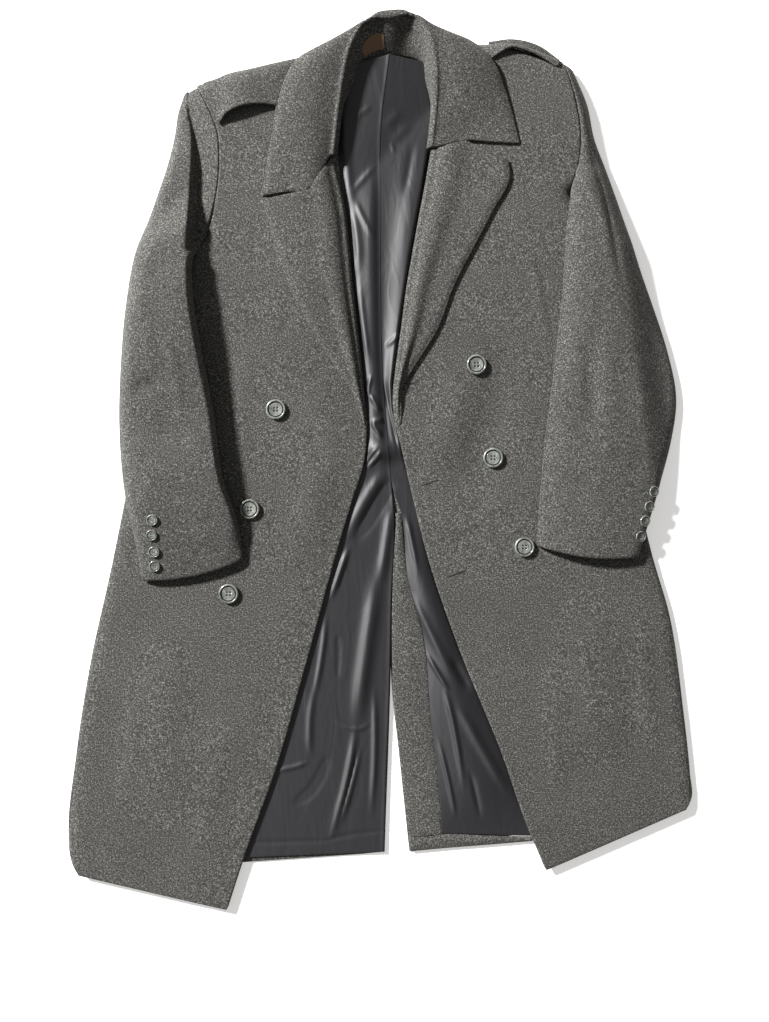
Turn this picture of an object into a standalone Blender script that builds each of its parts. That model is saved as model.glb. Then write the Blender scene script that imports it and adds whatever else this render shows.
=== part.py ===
"""Double-breasted wool overcoat lying open on its back, one solid for each cut piece.

X runs across the coat, Y from hem to collar, Z up from the floor it lies on. The wearer's
right half is at negative X. Each cloth piece is a loft between two edges given by sections.
"""
import math

import bpy
import numpy as np

# Thickness of each cloth as it is made up, and the space left at a seam.
BACK_WALL = 0.0025
LINING_WALL = 0.001
FACING_WALL = 0.002
FRONT_WALL = 0.004
LAPEL_WALL = 0.0035
COLLAR_WALL = 0.0035
STAND_WALL = 0.003
SLEEVE_WALL = 0.0025
STRAP_WALL = 0.003
LABEL_WALL = 0.0006
SEAM = 0.0004
SLEEVE_LAY = 0.0030

# How the body lies: height of the fronts along the coat, and how they round off at an edge.
BODY_ALONG = (-0.60, -0.35, -0.05, 0.15, 0.30, 0.40, 0.50)
BODY_RISE = (0.0085, 0.0095, 0.0105, 0.0125, 0.0155, 0.0180, 0.0195)
EDGE_RISE = BACK_WALL + SEAM + FRONT_WALL / 2
EDGE_ROUND = 0.022
EDGE_CURVE = 2.5

# Large soft folds of the fronts: start x, y, end x, y, half width, height (trough below zero).
FRONT_FOLDS = (
    (0.172, 0.170, 0.112, -0.040, 0.026, -0.0020),
    (0.115, 0.140, 0.070, -0.020, 0.026, 0.0026),
    (-0.075, 0.020, -0.110, -0.130, 0.028, 0.0028),
    (-0.290, -0.230, -0.300, -0.480, 0.036, 0.0030),
    (0.270, -0.180, 0.300, -0.400, 0.036, 0.0030),
)

# Sections of the fronts, hem to shoulder: outer x, y, inner x, y.
FRONT_RIGHT = (
    (-0.408, -0.550, -0.209, -0.596),
    (-0.418, -0.530, -0.203, -0.577),
    (-0.421, -0.500, -0.190, -0.537),
    (-0.411, -0.390, -0.143, -0.407),
    (-0.391, -0.262, -0.103, -0.268),
    (-0.362, -0.130, -0.063, -0.122),
    (-0.345, -0.045, -0.040, -0.045),
    (-0.336, 0.010, -0.023, 0.012),
    (-0.327, 0.060, -0.020, 0.058),
    (-0.306, 0.187, -0.031, 0.186),
    (-0.288, 0.279, -0.040, 0.266),
    (-0.257, 0.291, -0.043, 0.300),
    (-0.234, 0.312, -0.046, 0.335),
    (-0.219, 0.365, -0.049, 0.370),
    (-0.2145, 0.412, -0.053, 0.410),
    (-0.217, 0.449, -0.058, 0.447),
    (-0.2305, 0.484, -0.064, 0.490),
    (-0.247, 0.515, -0.079, 0.561),
)
FRONT_LEFT = (
    (0.412, -0.461, 0.224, -0.542),
    (0.419, -0.447, 0.217, -0.525),
    (0.417, -0.415, 0.202, -0.490),
    (0.408, -0.330, 0.165, -0.385),
    (0.388, -0.195, 0.108, -0.245),
    (0.366, -0.120, 0.069, -0.133),
    (0.342, -0.016, 0.041, -0.023),
    (0.335, 0.030, 0.029, 0.030),
    (0.328, 0.075, 0.017, 0.080),
    (0.321, 0.119, 0.017, 0.114),
    (0.310, 0.200, 0.027, 0.186),
    (0.297, 0.288, 0.041, 0.280),
    (0.277, 0.327, 0.051, 0.335),
    (0.2545, 0.369, 0.058, 0.373),
    (0.263, 0.406, 0.063, 0.408),
    (0.266, 0.446, 0.069, 0.450),
    (0.259, 0.493, 0.076, 0.500),
    (0.242, 0.548, 0.089, 0.566),
)
# Rows of the fronts at which the visible armhole seam begins.
SEAM_RIGHT = 12
SEAM_LEFT = 13
SHOULDER_BOW_LEFT = 0.013
# Where the side lines run on to past the armholes, out over the arms and in over the chest.
OVER_ARM_RIGHT = (-0.500, 0.470)
OVER_ARM_LEFT = (0.520, 0.530)
OVER_CHEST_RIGHT = (-0.10, 0.36)
OVER_CHEST_LEFT = (0.12, 0.41)
# The shoulder line where no front's corner marks it: beyond the right arm, past the neck, on the
# bow of the left shoulder, and beyond the left arm.
PAST_RIGHT_ARM = (-0.330, 0.440)
PAST_NECK = ((-0.050, 0.640), (0.050, 0.640))
ON_LEFT_BOW = (0.165, 0.570)
PAST_LEFT_ARM = (0.350, 0.480)
# Share of the shoulder line at which the back's third section ends.
SHOULDER_SHARE = 0.55

# Inner edge of each back half, hem to nape, on the rows of the front over it: x, y.
BACK_RIGHT_INNER = (
    (0.0040, -0.521),
    (0.0042, -0.515),
    (0.0050, -0.490),
    (0.0085, -0.395),
    (0.0118, -0.293),
    (0.0145, -0.179),
    (0.0180, -0.060),
    (0.0160, -0.020),
    (0.0140, 0.040),
    (0.0120, 0.150),
    (0.0115, 0.230),
    (0.0115, 0.290),
    (0.0115, 0.330),
    (0.0115, 0.370),
    (0.0115, 0.410),
    (0.0115, 0.450),
    (0.0115, 0.490),
    (0.0115, 0.567),
)
BACK_LEFT_INNER = (
    (0.0400, -0.520),
    (0.0385, -0.508),
    (0.0355, -0.480),
    (0.0255, -0.385),
    (0.0158, -0.293),
    (0.0157, -0.179),
    (0.0188, -0.060),
    (0.0168, -0.020),
    (0.0148, 0.040),
    (0.0128, 0.150),
    (0.0123, 0.230),
    (0.0123, 0.290),
    (0.0123, 0.330),
    (0.0123, 0.370),
    (0.0123, 0.410),
    (0.0123, 0.450),
    (0.0123, 0.490),
    (0.0123, 0.567),
)

# Lining halves, hem to nape: hidden edge x, y, centre edge x, y.
LINING_RIGHT = (
    (-0.215, -0.529, 0.003, -0.520),
    (-0.182, -0.407, 0.0070, -0.397),
    (-0.150, -0.293, 0.0110, -0.293),
    (-0.118, -0.179, 0.0135, -0.179),
    (-0.088, -0.062, 0.0170, -0.060),
    (-0.072, -0.020, 0.0145, -0.030),
    (-0.063, 0.045, 0.0080, 0.040),
    (-0.066, 0.120, 0.0010, 0.130),
    (-0.080, 0.250, -0.0015, 0.250),
    (-0.090, 0.370, -0.0020, 0.370),
    (-0.092, 0.460, -0.0010, 0.460),
    (-0.050, 0.540, 0.0105, 0.5615),
)
LINING_LEFT = (
    (0.235, -0.499, 0.0835, -0.495),
    (0.200, -0.415, 0.0780, -0.419),
    (0.175, -0.342, 0.0685, -0.342),
    (0.145, -0.240, 0.0580, -0.228),
    (0.118, -0.146, 0.0365, -0.146),
    (0.086, -0.062, 0.0280, -0.062),
    (0.073, -0.020, 0.0175, -0.030),
    (0.062, 0.045, 0.0090, 0.040),
    (0.058, 0.120, 0.0017, 0.130),
    (0.078, 0.250, -0.0009, 0.250),
    (0.098, 0.370, -0.0014, 0.370),
    (0.108, 0.460, -0.0004, 0.460),
    (0.068, 0.545, 0.0111, 0.5615),
)
# The lining's hump over the top of the vent: centre x, y, half width, half length, height.
HUMP = (0.006, 0.008, 0.012, 0.034, 0.0065)

# Wool facing turned in at the vent's edge, then at the hem: edge x, y, edge x, y.
VENT_FACING = (
    (0.0400, -0.4995, 0.0826, -0.4965),
    (0.0310, -0.419, 0.0770, -0.419),
    (0.0205, -0.342, 0.0675, -0.342),
    (0.0160, -0.228, 0.0565, -0.228),
    (0.0172, -0.146, 0.0355, -0.146),
    (0.0205, -0.062, 0.0270, -0.062),
)
HEM_FACING = (
    (0.0410, -0.5190, 0.0405, -0.5005),
    (0.0830, -0.5150, 0.0830, -0.4975),
    (0.1400, -0.5105, 0.1400, -0.4995),
    (0.2050, -0.5050, 0.2050, -0.5010),
)

# Lapels, break to gorge: roll line x, y, outer edge x, y.
LAPEL_RIGHT = (
    (-0.0200, 0.056, -0.0235, 0.062),
    (-0.0215, 0.085, -0.0360, 0.098),
    (-0.0245, 0.125, -0.0580, 0.133),
    (-0.0310, 0.186, -0.0870, 0.178),
    (-0.0380, 0.250, -0.1200, 0.243),
    (-0.0420, 0.295, -0.1380, 0.289),
    (-0.0480, 0.350, -0.1520, 0.340),
    (-0.0634, 0.4172, -0.1590, 0.362),
)
LAPEL_LEFT = (
    (0.0215, 0.058, 0.0270, 0.060),
    (0.0165, 0.080, 0.0270, 0.082),
    (0.0165, 0.104, 0.0262, 0.103),
    (0.0190, 0.128, 0.0365, 0.123),
    (0.0270, 0.186, 0.0750, 0.185),
    (0.0340, 0.239, 0.0980, 0.245),
    (0.0430, 0.292, 0.1240, 0.295),
    (0.0520, 0.342, 0.1480, 0.341),
    (0.0590, 0.378, 0.1720, 0.395),
    (0.0670, 0.4252, 0.1690, 0.4105),
)
NOTCH_SHARE = 0.40
LAPEL_NOTCH_RIGHT = (-0.0951, 0.3763)
LAPEL_NOTCH_LEFT = (0.1135, 0.4358)
LAPEL_ROLL = 0.0055
LAPEL_CREST = 0.16

# Collar, right end round the nape to left end: roll x, y, z, outer edge x, y, z.
COLLAR = (
    (-0.0640, 0.419, 0.0265, -0.158, 0.373, 0.0225),
    (-0.0570, 0.477, 0.0330, -0.144, 0.446, 0.0255),
    (-0.0500, 0.522, 0.0410, -0.133, 0.502, 0.0290),
    (-0.0390, 0.555, 0.0460, -0.111, 0.548, 0.0240),
    (-0.0180, 0.580, 0.0490, -0.066, 0.580, 0.0120),
    (0.0120, 0.590, 0.0500, 0.008, 0.595, 0.0050),
    (0.0490, 0.583, 0.0490, 0.084, 0.590, 0.0120),
    (0.0660, 0.558, 0.0460, 0.121, 0.573, 0.0250),
    (0.0730, 0.525, 0.0410, 0.151, 0.543, 0.0295),
    (0.0730, 0.484, 0.0330, 0.169, 0.501, 0.0260),
    (0.0675, 0.427, 0.0265, 0.185, 0.442, 0.0230),
)
COLLAR_NOTCH_RIGHT = (-0.095, 0.3775, 0.0240)
COLLAR_NOTCH_LEFT = (0.1135, 0.4365, 0.0240)
COLLAR_ROLL = 0.004
COLLAR_SPRING = 0.004
COLLAR_TURN = 0.12
COLLAR_END_ROWS = 1.2

# Collar stand, right to left: roll x, y, z, neck seam x, y, z.
STAND = (
    (-0.0535, 0.485, 0.0276, -0.0470, 0.486, 0.0110),
    (-0.0477, 0.520, 0.0358, -0.0380, 0.519, 0.0090),
    (-0.0370, 0.5530, 0.0411, -0.0220, 0.544, 0.0056),
    (-0.0165, 0.5770, 0.0444, -0.0060, 0.560, 0.0050),
    (0.0120, 0.5867, 0.0454, 0.0120, 0.565, 0.0050),
    (0.0475, 0.5800, 0.0444, 0.0370, 0.561, 0.0050),
    (0.0639, 0.5560, 0.0411, 0.0520, 0.546, 0.0056),
    (0.0707, 0.523, 0.0358, 0.0620, 0.522, 0.0090),
    (0.0710, 0.490, 0.0276, 0.0660, 0.491, 0.0110),
)
# Bare label on the stand: first and last share along it, then down it.
LABEL_ALONG = (0.335, 0.475)
LABEL_DOWN = (0.42, 0.74)

# Sleeves, cuff to armhole seam: outer edge x, y, inner edge x, y, loft, fold's share, fold's depth.
SLEEVE_RIGHT = (
    (-0.3115, -0.148, -0.1840, -0.115, 0.011, 0.80, 0.00),
    (-0.3240, -0.108, -0.1880, -0.080, 0.013, 0.80, 0.00),
    (-0.3425, -0.037, -0.2120, -0.017, 0.015, 0.80, 0.00),
    (-0.3500, 0.057, -0.2320, 0.074, 0.016, 0.80, 0.00),
    (-0.3480, 0.145, -0.2465, 0.170, 0.018, 0.82, 0.00),
    (-0.3425, 0.215, -0.2545, 0.236, 0.019, 0.84, 0.00),
    (-0.3310, 0.285, -0.2490, 0.280, 0.022, 0.82, 0.35),
    (-0.3200, 0.318, -0.2344, 0.312, 0.025, 0.68, 0.60),
)
SLEEVE_LEFT = (
    (0.3460, -0.119, 0.2095, -0.104, 0.012, 0.60, 0.00),
    (0.3605, -0.071, 0.2125, -0.057, 0.014, 0.65, 0.10),
    (0.3770, -0.017, 0.2165, -0.004, 0.016, 0.70, 0.20),
    (0.3930, 0.037, 0.2200, 0.036, 0.017, 0.72, 0.30),
    (0.4000, 0.091, 0.2260, 0.083, 0.018, 0.72, 0.38),
    (0.3875, 0.159, 0.2350, 0.156, 0.020, 0.68, 0.32),
    (0.3700, 0.213, 0.2420, 0.223, 0.022, 0.50, 0.18),
    (0.3500, 0.267, 0.2450, 0.263, 0.021, 0.30, 0.30),
    (0.3320, 0.320, 0.2475, 0.310, 0.021, 0.24, 0.42),
    (0.3155, 0.371, 0.2549, 0.369, 0.022, 0.22, 0.45),
)
# Sleeve heads, on the front's rows along the armhole seam: outer edge x, y, loft, fold's share, depth.
HEAD_RIGHT = (
    (-0.3030, 0.365, 0.030, 0.54, 0.75),
    (-0.2880, 0.410, 0.033, 0.42, 0.75),
    (-0.2785, 0.449, 0.030, 0.30, 0.75),
    (-0.2715, 0.484, 0.022, 0.24, 0.60),
    (-0.2630, 0.506, 0.006, 0.24, 0.20),
)
HEAD_LEFT = (
    (0.3035, 0.406, 0.026, 0.24, 0.45),
    (0.2890, 0.446, 0.024, 0.28, 0.40),
    (0.2800, 0.490, 0.020, 0.32, 0.25),
    (0.2610, 0.537, 0.006, 0.35, 0.00),
)
FOLD_WIDTH = 0.13
HEAD_DROP = 0.65
PUFF_CURVE = 5
SLEEVE_RAMP = 0.040
SLEEVE_CLEAR = 0.014

# Shoulder straps, armhole end to collar end: front edge x, y, back edge x, y.
STRAP_RIGHT = (
    (-0.2160, 0.4600, -0.2370, 0.5150),
    (-0.2080, 0.4700, -0.2100, 0.5280),
    (-0.1920, 0.4785, -0.1870, 0.5335),
    (-0.1600, 0.4850, -0.1600, 0.5375),
    (-0.1300, 0.4820, -0.1280, 0.5440),
)
STRAP_LEFT = (
    (0.2360, 0.5370, 0.2400, 0.5500),
    (0.2050, 0.5530, 0.2130, 0.5670),
    (0.1760, 0.5610, 0.1760, 0.5760),
    (0.1490, 0.5480, 0.1470, 0.5740),
)
STRAP_BOW_RIGHT = 0.009
STRAP_BOW_LEFT = 0.010

# Buttons: front ones by diameter and centre, cuff ones smaller.
FRONT_BUTTON = 0.027
CUFF_BUTTON = 0.015
BUTTON_FOOT = 0.55
# A button's outline over its top and round to its back: share of the width out, then up.
BUTTON_LINE = (
    (0.0, 0.085), (0.28, 0.085), (0.34, 0.135), (0.42, 0.165), (0.48, 0.135), (0.50, 0.080),
    (0.44, 0.020), (0.36, 0.0), (0.0, 0.0),
)
BUTTON_SPOTS_RIGHT = ((-0.1410, 0.078), (-0.1765, -0.056), (-0.2050, -0.170))
BUTTON_SPOTS_LEFT = ((0.1285, 0.138), (0.1515, 0.013), (0.1935, -0.107))
# Cuff buttons: share along the cuff's first two sections, share across from the outer edge.
CUFF_SPOTS_RIGHT = ((0.31, 0.105), (0.80, 0.135), (1.18, 0.160), (1.47, 0.200))
CUFF_SPOTS_LEFT = ((0.56, 0.050), (0.98, 0.050), (1.33, 0.050), (1.70, 0.050))

# Shares across a panel at which a section is cut, closer at the edges that round off.
FRONT_ACROSS = (0.0, 0.02, 0.05, 0.10, 0.18, 0.30, 0.42, 0.54, 0.66, 0.78, 0.90, 1.0)
FLAT_ACROSS = (0.0, 0.33, 0.67, 1.0)
LINING_ACROSS = (0.0, 0.25, 0.45, 0.62, 0.76, 0.88, 1.0)
LAPEL_ACROSS = (0.0, 0.06, 0.14, 0.25, 0.40, 0.60, 0.80, 1.0)
COLLAR_ACROSS = (0.0, 0.04, 0.10, 0.20, 0.40, 0.60, 0.80, 1.0)
STAND_ACROSS = (0.0, 0.33, 0.67, 1.0)
# Shares of the way from a sleeve's edge to its fold, then from the fold to its other edge.
OUTER_SHARES = (0.0, 0.03, 0.09, 0.20, 0.36, 0.55, 0.72, 0.87)
INNER_SHARES = (0.0, 0.22, 0.48, 0.72, 0.90, 1.0)
UNDER_COLUMNS = (0, 2, 4, 6, 8, 10, 12, 13)
STRAP_ACROSS = (0.0, 0.25, 0.5, 0.75, 1.0)

WOOL_TONE = (0.150, 0.147, 0.135, 1.0)
SATIN_TONE = (0.030, 0.030, 0.032, 1.0)
HORN_TONE = (0.420, 0.420, 0.400, 1.0)
LABEL_TONE = (0.020, 0.020, 0.022, 1.0)


def cloth(name, tone, roughness):
    """A plain Principled material in one tone."""
    made = bpy.data.materials.new(name)
    made.use_nodes = True
    shader = made.node_tree.nodes["Principled BSDF"]
    shader.inputs["Base Color"].default_value = tone
    shader.inputs["Roughness"].default_value = roughness
    return made


def through(points, places):
    """Smooth curve through the points, read at places counted in rows from the first."""
    points = np.asarray(points, float)
    steps = np.linalg.norm(np.diff(points, axis=0), axis=1) + 1e-6
    slopes = np.diff(points, axis=0) / steps[:, None]
    inside = slopes[:-1] * steps[1:, None] + slopes[1:] * steps[:-1, None]
    inside = inside / (steps[:-1] + steps[1:])[:, None]
    tangents = np.vstack([slopes[:1], inside, slopes[-1:]])
    row = np.clip(np.floor(places).astype(int), 0, len(points) - 2)
    part = (np.asarray(places) - row)[:, None]
    reach = steps[row][:, None]
    rest = 1.0 - part
    start = (1 + 2 * part) * rest ** 2 * points[row] + part * rest ** 2 * reach * tangents[row]
    finish = (3 - 2 * part) * part ** 2 * points[row + 1] - rest * part ** 2 * reach * tangents[row + 1]
    return start + finish


def spread(rows, parts):
    """Places along the rows, each gap between rows cut into equal parts."""
    return np.arange((rows - 1) * parts + 1) / parts


def ease(share):
    """Smooth step from zero to one."""
    share = np.clip(share, 0.0, 1.0)
    return share * share * (3.0 - 2.0 * share)


def sections(edge_a, edge_b, across):
    """Straight sections from edge_a to edge_b, cut at the shares across."""
    share = np.asarray(across)[None, :, None]
    return edge_a[:, None, :] * (1.0 - share) + edge_b[:, None, :] * share


def bend_end(grid, line, fade):
    """Move the sections near the end so that the last one follows the line."""
    return grid + (line - grid[-1])[None, :, :] * fade[:, None, None]


def side_of(spots, line):
    """Distance of spots from a line of points, above zero on its right hand."""
    line = np.asarray(line, float)
    start = line[:-1]
    run = line[1:] - line[:-1]
    offset = spots[..., None, :] - start
    share = np.clip((offset * run).sum(-1) / (run * run).sum(-1), 0.0, 1.0)
    away = np.linalg.norm(offset - share[..., None] * run, axis=-1)
    turn = offset[..., 0] * run[:, 1] - offset[..., 1] * run[:, 0]
    # a corner counts to the piece of line whose own side is plainer
    nearest = away - np.abs(turn) / np.linalg.norm(run, axis=1) * 1e-4
    pick = nearest.argmin(-1)[..., None]
    distance = np.take_along_axis(away, pick, -1)[..., 0]
    sign = np.sign(np.take_along_axis(turn, pick, -1)[..., 0])
    return distance * np.where(sign == 0, 1.0, sign)


def fold_reach(spots, fold):
    """How near each spot is to a fold's line, one on the line and fading to its half width."""
    start = np.array(fold[0:2])
    run = np.array(fold[2:4]) - start
    offset = spots - start
    share = np.clip((offset @ run) / (run @ run), 0.0, 1.0)
    away = np.linalg.norm(offset - share[..., None] * run, axis=-1)
    return np.exp(-(away / fold[4]) ** 2)


def outer_line(rows, first, last):
    """The outer edge of a front's rows from first to last."""
    return [row[0:2] for row in rows[first:last + 1]]


# Lines the body's height falls off at: side and armpit of each half, then the shoulders.
RIGHT_SIDE = outer_line(FRONT_RIGHT, 1, SEAM_RIGHT) + [OVER_ARM_RIGHT]
LEFT_SIDE = (outer_line(FRONT_LEFT, 1, SEAM_LEFT) + [OVER_ARM_LEFT])[::-1]
SHOULDERS = [
    PAST_RIGHT_ARM, FRONT_RIGHT[-1][0:2], FRONT_RIGHT[-1][2:4], *PAST_NECK,
    FRONT_LEFT[-1][2:4], ON_LEFT_BOW, FRONT_LEFT[-1][0:2], PAST_LEFT_ARM,
]


def body_height(spots, wider=0.0):
    """Height of the middle of the fronts over each spot, their edges let out by wider."""
    rise = np.interp(spots[..., 1], BODY_ALONG, BODY_RISE)
    for fold in FRONT_FOLDS:
        rise = rise + fold[5] * fold_reach(spots, fold)
    inside = np.minimum(side_of(spots, RIGHT_SIDE), side_of(spots, LEFT_SIDE))
    inside = np.minimum(inside, side_of(spots, SHOULDERS)) + wider
    fall = 1.0 - np.clip(inside / EDGE_ROUND, 0.0, 1.0)
    return EDGE_RISE + (rise - EDGE_RISE) * np.sqrt(1.0 - fall ** EDGE_CURVE)


def lifted(plan, height):
    """Plan spots raised to the given heights."""
    return np.concatenate([plan, np.broadcast_to(height, plan.shape[:2])[..., None]], axis=-1)


def wall(name, upper, lower, surface, place):
    """Closed wall between an upper and a lower grid of points."""
    rows, columns = upper.shape[0], upper.shape[1]
    count = rows * columns
    points = np.concatenate([upper.reshape(-1, 3), lower.reshape(-1, 3)])
    faces = []
    for row in range(rows - 1):
        for column in range(columns - 1):
            first = row * columns + column
            ring = (first, first + 1, first + columns + 1, first + columns)
            faces.append(ring)
            faces.append(tuple(count + spot for spot in reversed(ring)))
    rim = list(range(columns))
    rim += [row * columns + columns - 1 for row in range(1, rows)]
    rim += [(rows - 1) * columns + column for column in range(columns - 2, -1, -1)]
    rim += [row * columns for row in range(rows - 2, 0, -1)]
    for spot, after in zip(rim, rim[1:] + rim[:1]):
        faces.append((after, spot, count + spot, count + after))
    mesh = bpy.data.meshes.new(name)
    mesh.from_pydata(points.tolist(), [], faces)
    mesh.materials.append(surface)
    piece = bpy.data.objects.new(name, mesh)
    place.objects.link(piece)
    middle = np.cross(upper[1, 0] - upper[0, 0], upper[0, 1] - upper[0, 0])
    if middle @ (upper[0, 0] - lower[0, 0]) > 0:
        mesh.flip_normals()
    return piece


def facing_up(grid):
    """Unit normals of a grid of points, turned up."""
    along = np.gradient(grid, axis=0)
    across = np.gradient(grid, axis=1)
    normal = np.cross(across, along)
    normal = normal / np.linalg.norm(normal, axis=-1, keepdims=True)
    return normal * np.where(normal[..., 2:3] < 0, -1.0, 1.0)


for leftover in list(bpy.data.objects):
    bpy.data.objects.remove(leftover, do_unlink=True)
coat = bpy.data.collections.new("overcoat")
bpy.context.scene.collection.children.link(coat)
wool = cloth("wool", WOOL_TONE, 0.95)
satin = cloth("satin_lining", SATIN_TONE, 0.35)
horn = cloth("horn_plastic", HORN_TONE, 0.35)
weave = cloth("label_weave", LABEL_TONE, 0.7)


def front(name, rows, bow):
    """A front from hem to shoulder, lying over the back and rounding off at its side."""
    rows = np.array(rows)
    places = spread(len(rows), 2)
    plan = sections(through(rows[:, 0:2], places), through(rows[:, 2:4], places), FRONT_ACROSS)
    rise = np.zeros_like(plan)
    share = np.asarray(FRONT_ACROSS)
    rise[..., 1] = 4.0 * bow * (share * (1 - share))[None, :] * ease(places - len(rows) + 3)[:, None]
    plan = plan + rise
    height = body_height(plan)
    wall(name, lifted(plan, height + FRONT_WALL / 2), lifted(plan, height - FRONT_WALL / 2), wool, coat)


def back(name, rows, inner, bow):
    """A back half, flat on the floor, with its last section running along the shoulder and nape."""
    rows = np.array(rows)
    places = spread(len(rows), 2)
    outer = through(rows[:, 0:2], places)
    plan = sections(outer, through(inner, places), FLAT_ACROSS)
    shoulder = outer[-1] * (1 - SHOULDER_SHARE) + rows[-1, 2:4] * SHOULDER_SHARE
    neck = np.array([outer[-1], shoulder, rows[-1, 2:4], inner[-1]])
    neck[1, 1] += bow
    plan = bend_end(plan, neck, ease((places - len(rows) + 3) / 2))
    wall(name, lifted(plan, BACK_WALL), lifted(plan, 0.0), wool, coat)


front("front_right", FRONT_RIGHT, 0.0)
front("front_left", FRONT_LEFT, SHOULDER_BOW_LEFT)
back("back_right", FRONT_RIGHT, BACK_RIGHT_INNER, 0.0)
back("back_left", FRONT_LEFT, BACK_LEFT_INNER, SHOULDER_BOW_LEFT)


def lining(name, rows):
    """Half of the back's lining, with the hump over the vent."""
    rows = np.array(rows)
    places = spread(len(rows), 2)
    plan = sections(through(rows[:, 0:2], places), through(rows[:, 2:4], places), LINING_ACROSS)
    across = (plan[..., 0] - HUMP[0]) / HUMP[2]
    along = (plan[..., 1] - HUMP[1]) / HUMP[3]
    height = BACK_WALL + SEAM + HUMP[4] * np.exp(-across ** 2 - along ** 2)
    wall(name, lifted(plan, height + LINING_WALL), lifted(plan, height), satin, coat)


def facing(name, rows):
    """A turned-in strip of wool lying on the back."""
    rows = np.array(rows)
    places = spread(len(rows), 2)
    plan = sections(through(rows[:, 0:2], places), through(rows[:, 2:4], places), (0.0, 1.0))
    low = BACK_WALL + SEAM
    wall(name, lifted(plan, low + FACING_WALL), lifted(plan, low), wool, coat)


lining("lining_right", LINING_RIGHT)
lining("lining_left", LINING_LEFT)
facing("vent_facing", VENT_FACING)
facing("hem_facing", HEM_FACING)


def kinked(start, corner, finish, across):
    """A line from start to finish bent at a corner part way across."""
    table = np.array([start, corner, finish])
    shares = (0.0, NOTCH_SHARE, 1.0)
    return np.stack([np.interp(across, shares, table[:, axis]) for axis in range(table.shape[1])], -1)


def lapel(name, rows, notch):
    """A lapel turned back on its front, its top edge bent at the notch."""
    rows = np.array(rows)
    places = spread(len(rows), 2)
    plan = sections(through(rows[:, 0:2], places), through(rows[:, 2:4], places), LAPEL_ACROSS)
    top = kinked(rows[-1, 0:2], notch, rows[-1, 2:4], LAPEL_ACROSS)
    plan = bend_end(plan, top, ease((places - len(rows) + 4) / 3))
    share = np.asarray(LAPEL_ACROSS)
    roll = LAPEL_ROLL * np.exp(-(share / LAPEL_CREST - 1.0) ** 2)[None, :] * ease(places / 3)[:, None]
    low = body_height(plan) + FRONT_WALL / 2 + SEAM + roll
    wall(name, lifted(plan, low + LAPEL_WALL), lifted(plan, low), wool, coat)


lapel("lapel_right", LAPEL_RIGHT, LAPEL_NOTCH_RIGHT)
lapel("lapel_left", LAPEL_LEFT, LAPEL_NOTCH_LEFT)


def collar_fall():
    """The collar's fall from its roll to its outer edge, both ends bent at the notch."""
    rows = np.array(COLLAR)
    places = spread(len(rows), 3)
    grid = sections(through(rows[:, 0:3], places), through(rows[:, 3:6], places), COLLAR_ACROSS)
    near_end = ease((places - len(rows) + 1) / COLLAR_END_ROWS + 1.0)
    left_end = kinked(rows[-1, 0:3], COLLAR_NOTCH_LEFT, rows[-1, 3:6], COLLAR_ACROSS)
    right_end = kinked(rows[0, 0:3], COLLAR_NOTCH_RIGHT, rows[0, 3:6], COLLAR_ACROSS)
    grid = bend_end(grid, left_end, near_end)
    grid = bend_end(grid[::-1], right_end, near_end)[::-1]
    share = np.asarray(COLLAR_ACROSS)
    round_off = 1.0 - np.sqrt(1.0 - (1.0 - np.clip(share / COLLAR_TURN, 0.0, 1.0)) ** 2)
    spring = COLLAR_SPRING * np.sin(np.pi * share ** 0.7)
    grid[..., 2] += (spring - COLLAR_ROLL * round_off)[None, :]
    normal = facing_up(grid)
    wall("collar_fall", grid + normal * COLLAR_WALL / 2, grid - normal * COLLAR_WALL / 2, wool, coat)


def stand_grid(places, across):
    """Points of the collar stand at places along it and shares down it."""
    rows = np.array(STAND)
    return sections(through(rows[:, 0:3], places), through(rows[:, 3:6], places), across)


def collar_stand():
    """The collar's stand, rising from the neck seam to the roll."""
    grid = stand_grid(spread(len(STAND), 3), STAND_ACROSS)
    normal = facing_up(grid)
    wall("collar_stand", grid + normal * STAND_WALL / 2, grid - normal * STAND_WALL / 2, wool, coat)
    finest = len(STAND) - 1
    places = np.linspace(LABEL_ALONG[0], LABEL_ALONG[1], 5) * finest
    patch = stand_grid(places, LABEL_DOWN)
    out = facing_up(patch)
    low = patch + out * (STAND_WALL / 2 + SEAM)
    wall("label", low + out * LABEL_WALL, low, weave, coat)


collar_fall()
collar_stand()


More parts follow.
